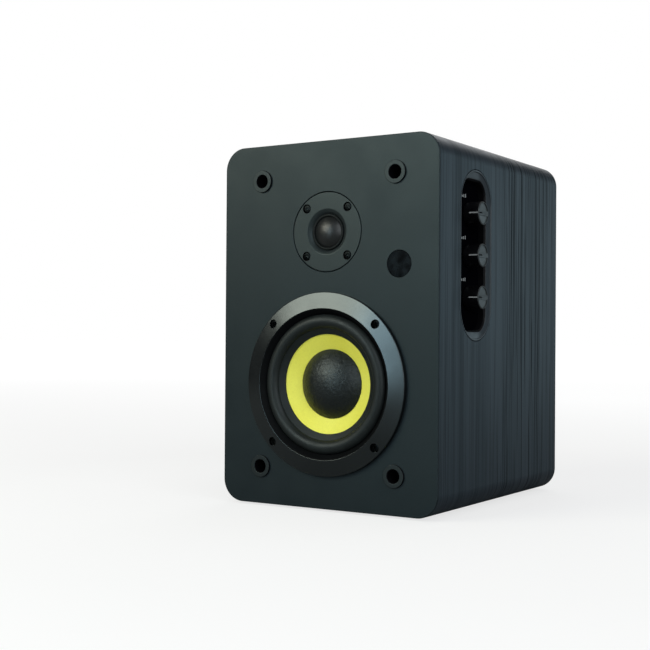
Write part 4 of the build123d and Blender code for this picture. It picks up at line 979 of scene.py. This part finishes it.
def make_sockets():
    """Four plastic sockets: a flat flange and a deep bore, with the flange's side wall and the bore painted
    near-black as painted shade.
    """
    low, high = box("grille_sockets")
    floor = FACE + SOCKET_DEPTH
    outline = [
        (FACE, SOCKET_RADIUS), (low.y, SOCKET_RADIUS, 0.35), (low.y, SOCKET_BORE, 0.5), (floor, SOCKET_BORE),
        (floor, 0), (high.y, 0), (high.y, SOCKET_BARREL), (FACE, SOCKET_BARREL),
    ]
    cups = [turned("socket", "y", place, outline, True, 6, 72) for place in SOCKETS]
    sockets = dress(merge("grille_cups", cups), SOCKET, "black_plastic", "grille_sockets")

    def shaded(at):
        reach = reach_from(at, *SOCKETS)
        return reach > SOCKET_RADIUS - 0.15 or reach < SOCKET_BORE + 0.2

    # the flange's side wall and the bore are painted near-black: painted shade
    paint_part(sockets, PAINTED_SHADE, shaded)


make_window()
make_sockets()

# ---------------- side controls

MOUTH_TALL, MOUTH_WIDE, MOUTH_CORNER, BEZEL_SLOPE = 97.4, 35.2, 10.0, 2.2
PANEL_FACE = box("control_plate")[1].x
POT_HOLE, SHAFT_HOLE = 3.6, 3.05
# the ticks over a knob: how many, their width and pitch, the first one's height, and the growth of each
TICKS, TICK_WIDE, TICK_PITCH, TICK_FIRST, TICK_GROWTH = 5, 0.9, 2.4, 0.6, 0.45
TICKS_AHEAD, TICKS_UP = 12.0, 10.6
# a knob's grip bar, its two lobes' depth and radius, and its collar's radius and length
BAR, LOBE_DEPTH, LOBE, COLLAR, COLLAR_LONG = 3.0, 0.8, 6.8, 6.2, 3.0
# the widths of its white line and of the dash down its side, and where the dash starts and ends
LINE, DASH, DASH_START, DASH_END = 0.9, 0.8, 0.7, 6.8


def make_bezel():
    """The recess's frame: a sloping band, a thin raised lip at the mouth and a wall down to the panel."""
    back = box("control_bezel")[0].x
    slope = SIDE - BEZEL_SLOPE
    profile = rounded(
        [
            (back, 0.0), (SIDE, 0.0, 0.5), (SIDE, 0.15, 0.2), (SIDE - 0.7, 0.2, 0.3),
            (slope + 0.3, 0.82, 1.0), (slope - 1.0, 1.0, 0.8), (PANEL_FACE, 1.0), (PANEL_FACE, 0.86),
            (back, 0.86),
        ],
        True, 5,
    )
    sections = []
    for at, share in profile:
        tall = BEZEL_TALL + share * (MOUTH_TALL - BEZEL_TALL)
        wide = BEZEL_WIDE + share * (MOUTH_WIDE - BEZEL_WIDE)
        corner = BEZEL_WIDE / 2 + share * (MOUTH_CORNER - BEZEL_WIDE / 2)
        sections.append((at, rectangle(wide, tall, corner, 24)))
    bezel = loft("control_frame", "x", CONTROLS, sections, closed=True)
    dress(bezel, BEZEL, "bezel_grey", "control_bezel")
    # the wall inside the lip, down to the panel, is painted near-black: painted shade in the recess
    paint_part(bezel, PAINTED_SHADE, lambda at: at.x < slope - 0.2)


def make_panel():
    """The black panel behind the knobs, with a printed row of growing ticks over each one."""
    low, high = box("control_plate")
    wide, tall = high.y - low.y, high.z - low.z
    panel = slab("control_panel", "x", CONTROLS, wide, tall, MOUTH_CORNER, low.x, high.x, 0.2)
    cut(panel, [drill("x", place, POT_HOLE, low.x - 1, high.x + 1) for _, place in KNOBS])
    dress(panel, PANEL, "black_plastic", "control_plate")
    start, end = high.x - 0.1, high.x + 0.1
    marks = []
    for _, (y, z) in KNOBS:
        for i in range(TICKS):
            length = TICK_FIRST + TICK_GROWTH * i
            place = (y - TICKS_AHEAD + TICK_PITCH * i, z + TICKS_UP + length / 2)
            marks.append(slab("tick", "x", place, TICK_WIDE, length, 0.2, start, end, 0.05, 2))
    dress(merge("control_marks", marks), MARK, "black_plastic")


def make_knob(name, place):
    """A knob with a grip bar between two sunken lobes, and a white line along the bar and down the side. Its
    top face and lobe floors are lighter grey: painted light.
    """
    low, high = box(f"{name}_knob")
    body = f"{name}_control"
    radius = (high.y - low.y) / 2
    collar = low.x + COLLAR_LONG
    outline = [
        (high.x, 0), (high.x, radius, 0.7), (low.x, radius, 0.3), (low.x, COLLAR), (collar, COLLAR),
        (collar, 0),
    ]
    knob = turned(f"{name}_dial", "x", place, outline, sides=96)
    start = degrees(asin(BAR / 2 / LOBE))
    bottom = high.x - LOBE_DEPTH
    wells, lit_floors = [], []
    for way in (1, -1):
        lobe = [(u, way * v) for u, v in arc((0, 0), LOBE, start, 180 - start, 24)]
        soft = rounded([(*p, 0.4) if i in (0, 24) else p for i, p in enumerate(lobe)])
        wells.append(prism("cutter", "x", place, soft, bottom, high.x + 1))
        inner = [(u * 0.995, v * 0.995) for u, v in lobe]
        lit_floors.append(prism("floor", "x", place, inner, bottom - 0.1, bottom + 0.25))
    bore = drill("x", place, SHAFT_HOLE, low.x + 2.5, high.x - 2.4)
    cut(knob, wells + [bore])
    dress(knob, KNOB, "knob_black", f"{name}_knob", body=body)
    # the top face is painted lighter grey: painted light
    paint_part(knob, KNOB_TOP_PAINTED_LIGHT, lambda at: at.x > high.x - 0.6)
    # thin floors in the lobes carry a lighter grey: painted light
    dress(merge(f"{name}_dial_cap_painted_light", lit_floors), KNOB_CAP_PAINTED_LIGHT, "knob_black", body=body)
    middle_of_line = (place[0] - radius * 0.58, place[1])
    line = slab("line", "x", middle_of_line, radius * 0.62, LINE, 0.2, high.x - 0.1, high.x, 0.04)
    top, foot, half = high.x - DASH_START, high.x - DASH_END, DASH / 2
    dash = [(top, half), (top, -half), (foot, -half), (foot, half)]
    side = place[0] - radius
    drop = loft("drop", "y", (0, place[1]), [(side - 0.06, dash), (side + 0.3, dash)])
    dress(merge(f"{name}_pointer", [line, drop]), MARK, "knob_black", body=body)


make_bezel()
make_panel()
for knob_name, knob_place in KNOBS:
    make_knob(knob_name, knob_place)

# ---------------- rear

# the bodies that pass through the amplifier plate: width and height
BODIES = {"mains_inlet": (23.0, 15.0), "switch_housing": (13.0, 19.0), "speaker_terminal_cup": (40.0, 30.0)}
JACK_IN, JACK_OUT, JACK_BARREL = 3.45, 4.15, 3.9


def fitting(name, node, corner, edge, step, body_corner=0.4):
    """A flange on the amplifier plate, joined to the body behind it."""
    low, high = box(node)
    centre = across_front(node)
    flange = slab(name, "y", centre, high.x - low.x, high.z - low.z, corner, step, high.y, edge)
    body = prism("body", "y", centre, rectangle(*BODIES[node], body_corner, 3), low.y, step + 0.1)
    return carve(flange, body, operation="UNION")


def make_amplifier_plate():
    """The rear metal plate with its openings and screw holes."""
    low, high = box("amplifier_plate")
    plate = slab("amplifier_panel", "y", AMPLIFIER, high.x - low.x, high.z - low.z, 5.0, low.y, high.y, 0.5)
    start, end = low.y - 1, high.y + 1
    cutters = []
    for node, (wide, tall) in BODIES.items():
        opening = rectangle(wide + 0.2, tall + 0.2, 0.5, 3)
        cutters.append(prism("cutter", "y", across_front(node), opening, start, end))
    for colour in ("red", "white"):
        cutters.append(drill("y", across_front(f"input_jack_insert_{colour}"), JACK_BARREL + 0.1, start, end))
    cutters += [drill("y", place, 1.7, start, end, 24) for place in around(AMPLIFIER, *AMP_SCREW)]
    cut(plate, cutters)
    dress(plate, POWDER, "amp_paint", "amplifier_plate")


def make_amplifier_screws():
    """The plate's four screws."""
    top = box("amplifier_screws")[1].y
    radius, thick, shank = 3.0, 1.8, 1.5
    outline = [
        (top, 0), (top, radius, 0.9), (top - thick, radius), (top - thick, shank), (top - 12, shank),
        (top - 12.8, 0),
    ]
    screws = []
    for place, turn in zip(around(AMPLIFIER, *AMP_SCREW), (20, 66, 41, 5)):
        recess = prism("cutter", "y", place, cross(1.6, 0.35, turn), top - 1.0, top + 1)
        screws.append(carve(turned("screw", "y", place, outline), recess))
    dress(merge("amplifier_bolts", screws), SCREW, "screw_black", "amplifier_screws")


def make_port():
    """The bass port: a rolled flare on the rear board and a tube into the cabinet."""
    low, high = box("bass_port_tube")
    centre = across_front("bass_port_tube")
    bore, wall, flare = 17.0, 2.0, (high.x - low.x) / 2
    face = high.y - 2.5
    mouth_start, mouth_long, mouth_wide = face - 6, 8.1, 4.6
    turns = [pi / 2 * i / 16 for i in range(17)]
    mouth = [(mouth_start + mouth_long * sin(turn), bore + mouth_wide * (1 - cos(turn))) for turn in turns]
    rim = [(high.y, bore + 4.8), (high.y, flare - 3.5, 2.0), (face + 0.9, flare, 0.7), (face, flare)]
    outline = [(low.y, bore), *mouth, *rounded(rim, False, 8)[1:], (face, bore + wall), (low.y, bore + wall)]
    tube = lathe("bass_port", "y", centre, outline, steps=144)
    dress(tube, BLACK, "black_plastic", "bass_port_tube")


def make_inlet():
    """A two-pin mains inlet with a figure-eight mouth."""
    low, high = box("mains_inlet")
    centre = across_front("mains_inlet")
    start, end, reach = low.y + 3, high.y + 1, 4.3
    places = [(centre[0] + reach * way, centre[1]) for way in (1, -1)]
    inlet = fitting("mains_socket", "mains_inlet", 2.0, 0.5, high.y - 1.5)
    bores = [drill("y", place, 4.6, start, end, 64) for place in places]
    waist = prism("cutter", "y", centre, rectangle(2 * reach, 7.0, 0.2, 2), start, end)
    carve(inlet, *bores, waist)
    dress(inlet, BLACK, "black_plastic", "mains_inlet")
    outline = [(high.y - 3, 0), (high.y - 3, 1.2, 0.7), (low.y + 1, 1.2), (low.y + 1, 0)]
    pins = [turned("pin", "y", place, outline, sides=32) for place in places]
    dress(merge("mains_pins", pins), NICKEL, "black_plastic")


def make_switch():
    """The rocker switch: a frame with a well, and a rocker dished where a finger presses it."""
    high = box("switch_housing")[1]
    centre = across_front("switch_housing")
    rim = fitting("switch_frame", "switch_housing", 1.2, 0.45, high.y - 1.5)
    carve(rim, prism("cutter", "y", centre, rectangle(11.2, 17.2, 0.3, 3), high.y - 9, high.y + 1))
    dress(rim, BLACK, "black_plastic", "switch_housing")
    pivot = (AMP_BACK - 2.5, centre[1])
    reach, tilt = 7.6, radians(8.0)
    side = rounded(
        [
            (4.4, 0, 3.0), (5.4, reach, 0.8), (1.6, reach, 0.5), (-2.2, 2.2, 1.0), (-2.2, -2.2, 1.0),
            (1.6, -reach, 0.5), (5.4, -reach, 0.8),
        ],
        True, 6,
    )
    tilted = [(y * cos(tilt) - z * sin(tilt), y * sin(tilt) + z * cos(tilt)) for y, z in side]
    wide = box("power_rocker")[1].x - box("power_rocker")[0].x
    sections = []
    for share, inset in ((0, 0.35), (0.1, 0.1), (0.35, 0), (wide - 0.35, 0), (wide - 0.1, 0.1), (wide, 0.35)):
        loop = [(y * (1 - inset / 5), z * (1 - inset / 8)) for y, z in tilted]
        sections.append((centre[0] - wide / 2 + share, loop))
    rocker = loft("power_rocker_cap", "x", pivot, sections)
    dress(rocker, KNOB, "knob_black", "power_rocker", body="power_switch")


def make_jacks():
    """Two phono jacks: a nickel shell with a rolled lip round a coloured insert."""
    tip = box("input_jack_shells")[1].y
    lip = tip - 0.6
    shell = [
        (tip, JACK_IN), (tip, JACK_OUT, 0.3), (AMP_BACK + 1.6, JACK_OUT, 0.2),
        (AMP_BACK + 1.2, JACK_OUT, 0.2), (AMP_BACK, JACK_OUT), (AMP_BACK, JACK_BARREL),
        (AMP_BACK - 2, JACK_BARREL), (AMP_BACK - 8, JACK_BARREL), (AMP_BACK - 8, JACK_IN),
    ]
    shells = []
    for colour, tone in (("red", (0.42, 0.012, 0.010)), ("white", (0.70, 0.69, 0.65))):
        node = f"input_jack_insert_{colour}"
        centre = across_front(node)
        shells.append(turned("shell", "y", centre, shell, True, 5, 64))
        back = box(node)[0].y
        ring = [(lip, 1.65, 0.3), (lip, JACK_IN - 0.02, 0.3), (back, JACK_IN - 0.02), (back, 1.65)]
        part = turned(f"jack_ring_{colour}", "y", centre, ring, True, 5, 64)
        dress(part, moulded(f"jack_{colour}", tone, 0.3), f"jack_{colour}", node)
    dress(merge("jack_shells", shells), NICKEL, "jack_nickel", "input_jack_shells")


def make_terminals():
    """The spring-clip terminal cup and its two levers."""
    top = box("speaker_terminal_cup")[1].y
    centre = across_front("speaker_terminal_cup")
    start, end = top - 10, top + 1
    cup = fitting("terminal_cup", "speaker_terminal_cup", 3.0, 0.7, AMP_BACK, 0.6)
    apart, window, wire_drop, wire_hole = 9.5, rectangle(13, 20, 0.8, 4), 10.8, 2.1
    for way in (1, -1):
        x = centre[0] + apart * way
        carve(cup, prism("cutter", "y", (x, centre[1] + 3), window, start, end))
        carve(cup, drill("y", (x, centre[1] - wire_drop), wire_hole, start, end, 32))
    dress(cup, BLACK, "black_plastic", "speaker_terminal_cup")
    pivot = (AMP_BACK - 1.0, centre[1] + 9.0)
    side = rounded(
        [
            (-2.0, 1.2, 1.2), (1.2, 2.0, 1.4), (3.0, 0.6, 1.2), (3.0, -10.6, 0.8), (5.2, -11.2, 0.8),
            (5.2, -13.2, 0.8), (2.8, -13.9, 0.6), (-0.2, -13.6, 0.5), (-0.2, -2.0, 0.6), (-2.0, -1.2, 1.2),
        ],
        True, 5,
    )
    ends = [(y * 0.96, z * 0.99) for y, z in side]
    for colour, tone in (("red", (0.40, 0.012, 0.010)), ("black", (0.010, 0.010, 0.011))):
        node = f"terminal_lever_{colour}"
        left, right = (corner.x for corner in box(node))
        sections = [(left, ends), (left + 0.4, side), (right - 0.4, side), (right, ends)]
        lever = loft(f"clip_lever_{colour}", "x", pivot, sections)
        dress(lever, moulded(f"lever_{colour}", tone, 0.34), f"lever_{colour}", node, body=f"{colour}_lever")


make_amplifier_plate()
make_amplifier_screws()
make_port()
make_inlet()
make_switch()
make_jacks()
make_terminals()

# ---------------- inside


def make_damping_pad():
    """A foam pad on the wall: crowned, with soft edges and shallow dimples."""
    low, high = box("damping_foam")
    tall, long, thick = high.z - low.z, high.y - low.y, high.x - low.x
    columns, rows = 72, 100
    soft_edge, droop, slack, dimple, pitch = 9.0, 0.35, 0.5, 0.45, 3.1
    vertices, faces = [], []
    for layer in (0, 1):
        for i in range(columns + 1):
            for j in range(rows + 1):
                u, v = i / columns, j / rows
                edge = min(u, 1 - u) * long, min(v, 1 - v) * tall
                crown = 1 - droop * sum(max(0, 1 - inset / soft_edge) ** 3 for inset in edge)
                dent = dimple * sin(u * long / pitch) * sin(v * tall / pitch)
                x = low.x + (thick * crown - slack + dent) * layer
                vertices.append((x, low.y + u * long, low.z + v * tall))
    layer_size = (columns + 1) * (rows + 1)
    for i in range(columns):
        for j in range(rows):
            a = i * (rows + 1) + j
            quad = (a, a + 1, a + rows + 2, a + rows + 1)
            faces += [quad, tuple(layer_size + k for k in quad)]
    border = [i * (rows + 1) for i in range(columns)] + [columns * (rows + 1) + j for j in range(rows)]
    border += [i * (rows + 1) + rows for i in range(columns, 0, -1)] + list(range(rows, 0, -1))
    for a, b in zip(border, border[1:] + border[:1]):
        faces.append((a, b, layer_size + b, layer_size + a))
    pad = build("damping_pad", vertices, faces)
    dress(pad, foam(), "foam", "damping_foam")


make_damping_pad()

FERRITE = metal("ferrite", (0.055, 0.055, 0.058), 0.55, brushed=(800.0, 800.0, 800.0), depth=0.05)
STEEL_BLACK = moulded("basket_paint", (0.015, 0.015, 0.016), 0.5, Metallic=0.3)
COPPER = ridged("copper_winding", (0.72, 0.30, 0.13), "y", 0.32)
LEAD = moulded("lead_jacket", (0.012, 0.012, 0.013), 0.5)
CARRIED = {
    "amplifier_board": BOARD,
    "control_board": BOARD,
    "ir_receiver_board": BOARD,
    "woofer_gasket": rubber("gasket_rubber", (0.012, 0.012, 0.012), 0.75),
    "woofer_basket": STEEL_BLACK,
    "woofer_coil_former": moulded("coil_former", (0.35, 0.16, 0.04), 0.35),
    "woofer_coil_winding": COPPER,
    "tweeter_voice_coil": COPPER,
    "woofer_top_plate": ZINC,
    "woofer_yoke": ZINC,
    "tweeter_top_plate": ZINC,
    "tweeter_yoke": ZINC,
    "pot_nuts": ZINC,
    "woofer_magnet": FERRITE,
    "tweeter_magnet": FERRITE,
    "heat_sink": metal("sink_aluminium", (0.60, 0.61, 0.62), 0.4, brushed=(60.0, 60.0, 1500.0)),
    "supply_capacitors": moulded("capacitor_sleeve", (0.016, 0.030, 0.085), 0.3),
    "transformer": ridged("transformer_iron", (0.20, 0.19, 0.18), "x", 0.5, 0.5),
    "woofer_lead": LEAD,
    "tweeter_lead": LEAD,
}
for control in CONTROL_NAMES:
    CARRIED[f"{control}_pot"] = metal(f"{control}_pot_steel", (0.5, 0.5, 0.48), 0.3)
    CARRIED[f"{control}_shaft"] = SHAFT
for node_name, finish in CARRIED.items():
    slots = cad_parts[node_name].data.materials
    slots.clear()
    slots.append(finish)

# ---------------- floor, light and camera


def make_floor():
    """A large pale floor, kept bright in view so that it runs into the backdrop."""
    mesh = bpy.data.meshes.new("floor")
    reach = 12.0
    corners = [(-reach, -reach, 0), (reach, -reach, 0), (reach, reach, 0), (-reach, reach, 0)]
    mesh.from_pydata(corners, [], [(0, 1, 2, 3)])
    floor = add_object("floor", mesh)
    look = Finish("floor_paint", Roughness=0.9, Specular_IOR_Level=0.0, Emission_Color=(1, 1, 1, 1))
    look.colour(look.greys(look.noise(2.0), (0.3, 0.26), (0.7, 0.27)))
    far = look.maths("MINIMUM", look.maths("MULTIPLY", look.distance(), 0.3), 1.0)
    look.feed(look.shader.inputs["Emission Strength"], look.in_view(look.span(far, 0.72, 1.0, 0.1, 0.8)))
    mesh.materials.append(look.material)


def make_light(name, azimuth, elevation, distance, size, glow, colour):
    """A soft rectangular light that faces the speaker. Azimuths are from the front, positive to the right."""
    data = bpy.data.lights.new(name, "AREA")
    data.shape = "RECTANGLE"
    data.size, data.size_y = size
    data.energy = glow * pi * size[0] * size[1]
    data.color = colour
    lamp = add_object(name, data)
    turn, rise = radians(azimuth), radians(elevation)
    arm = Vector((sin(turn) * cos(rise), -cos(turn) * cos(rise), sin(rise)))
    lamp.location = LIT + distance * arm
    lamp.rotation_euler = (-arm).to_track_quat("-Z", "Y").to_euler()


def make_world(seen, felt):
    """Near-white surroundings that light the speaker only dimly."""
    world = bpy.data.worlds.new("studio")
    bpy.context.scene.world = world
    world.use_nodes = True
    tree = world.node_tree
    path = tree.nodes.new("ShaderNodeLightPath")
    strength = tree.nodes.new("ShaderNodeMapRange")
    strength.inputs["To Min"].default_value = felt
    strength.inputs["To Max"].default_value = seen
    tree.links.new(path.outputs["Is Camera Ray"], strength.inputs["Value"])
    tree.links.new(strength.outputs[0], tree.nodes["Background"].inputs["Strength"])
    tree.nodes["Background"].inputs["Color"].default_value = (1, 1, 1, 1)


def make_camera(place, yaw, pitch, roll, lens):
    """The camera, with its angles in degrees and its place in metres."""
    data = bpy.data.cameras.new("camera")
    data.lens = lens
    data.sensor_width = 36.0
    camera = add_object("camera", data)
    turn = Matrix.Rotation(radians(yaw), 4, "Z") @ Matrix.Rotation(radians(90 + pitch), 4, "X")
    camera.matrix_world = Matrix.Translation(place) @ turn @ Matrix.Rotation(radians(roll), 4, "Z")
    bpy.context.scene.camera = camera


LIT = Vector((0, 0, 0.12))
WARM, BLUE, PALE_BLUE, WHITE = (1.0, 1.0, 0.85), (0.68, 0.90, 1.0), (0.90, 0.97, 1.0), (1.0, 1.0, 1.0)
make_floor()
make_light("key", -32, 24, 1.4, (0.8, 0.62), 6.1, WARM)
make_light("cool", -11, 11, 1.4, (0.32, 0.75), 5.1, BLUE)
make_light("fill", 52, 20, 1.8, (1.6, 1.6), 2.4, PALE_BLUE)
make_light("side", 150, 3, 1.8, (1.3, 1.0), 0.8, BLUE)
make_light("overhead", 180, 75, 2.0, (2.0, 1.8), 1.0, WHITE)
make_light("rear", -165, 35, 1.8, (0.9, 0.7), 2.0, WHITE)
make_world(seen=1.0, felt=0.08)
make_camera(place=(0.4144, -0.7479, 0.1152), yaw=32.495, pitch=0.448, roll=0.397, lens=65.85)
bpy.context.scene.view_settings.view_transform = "Standard"

bpy.context.view_layer.update()
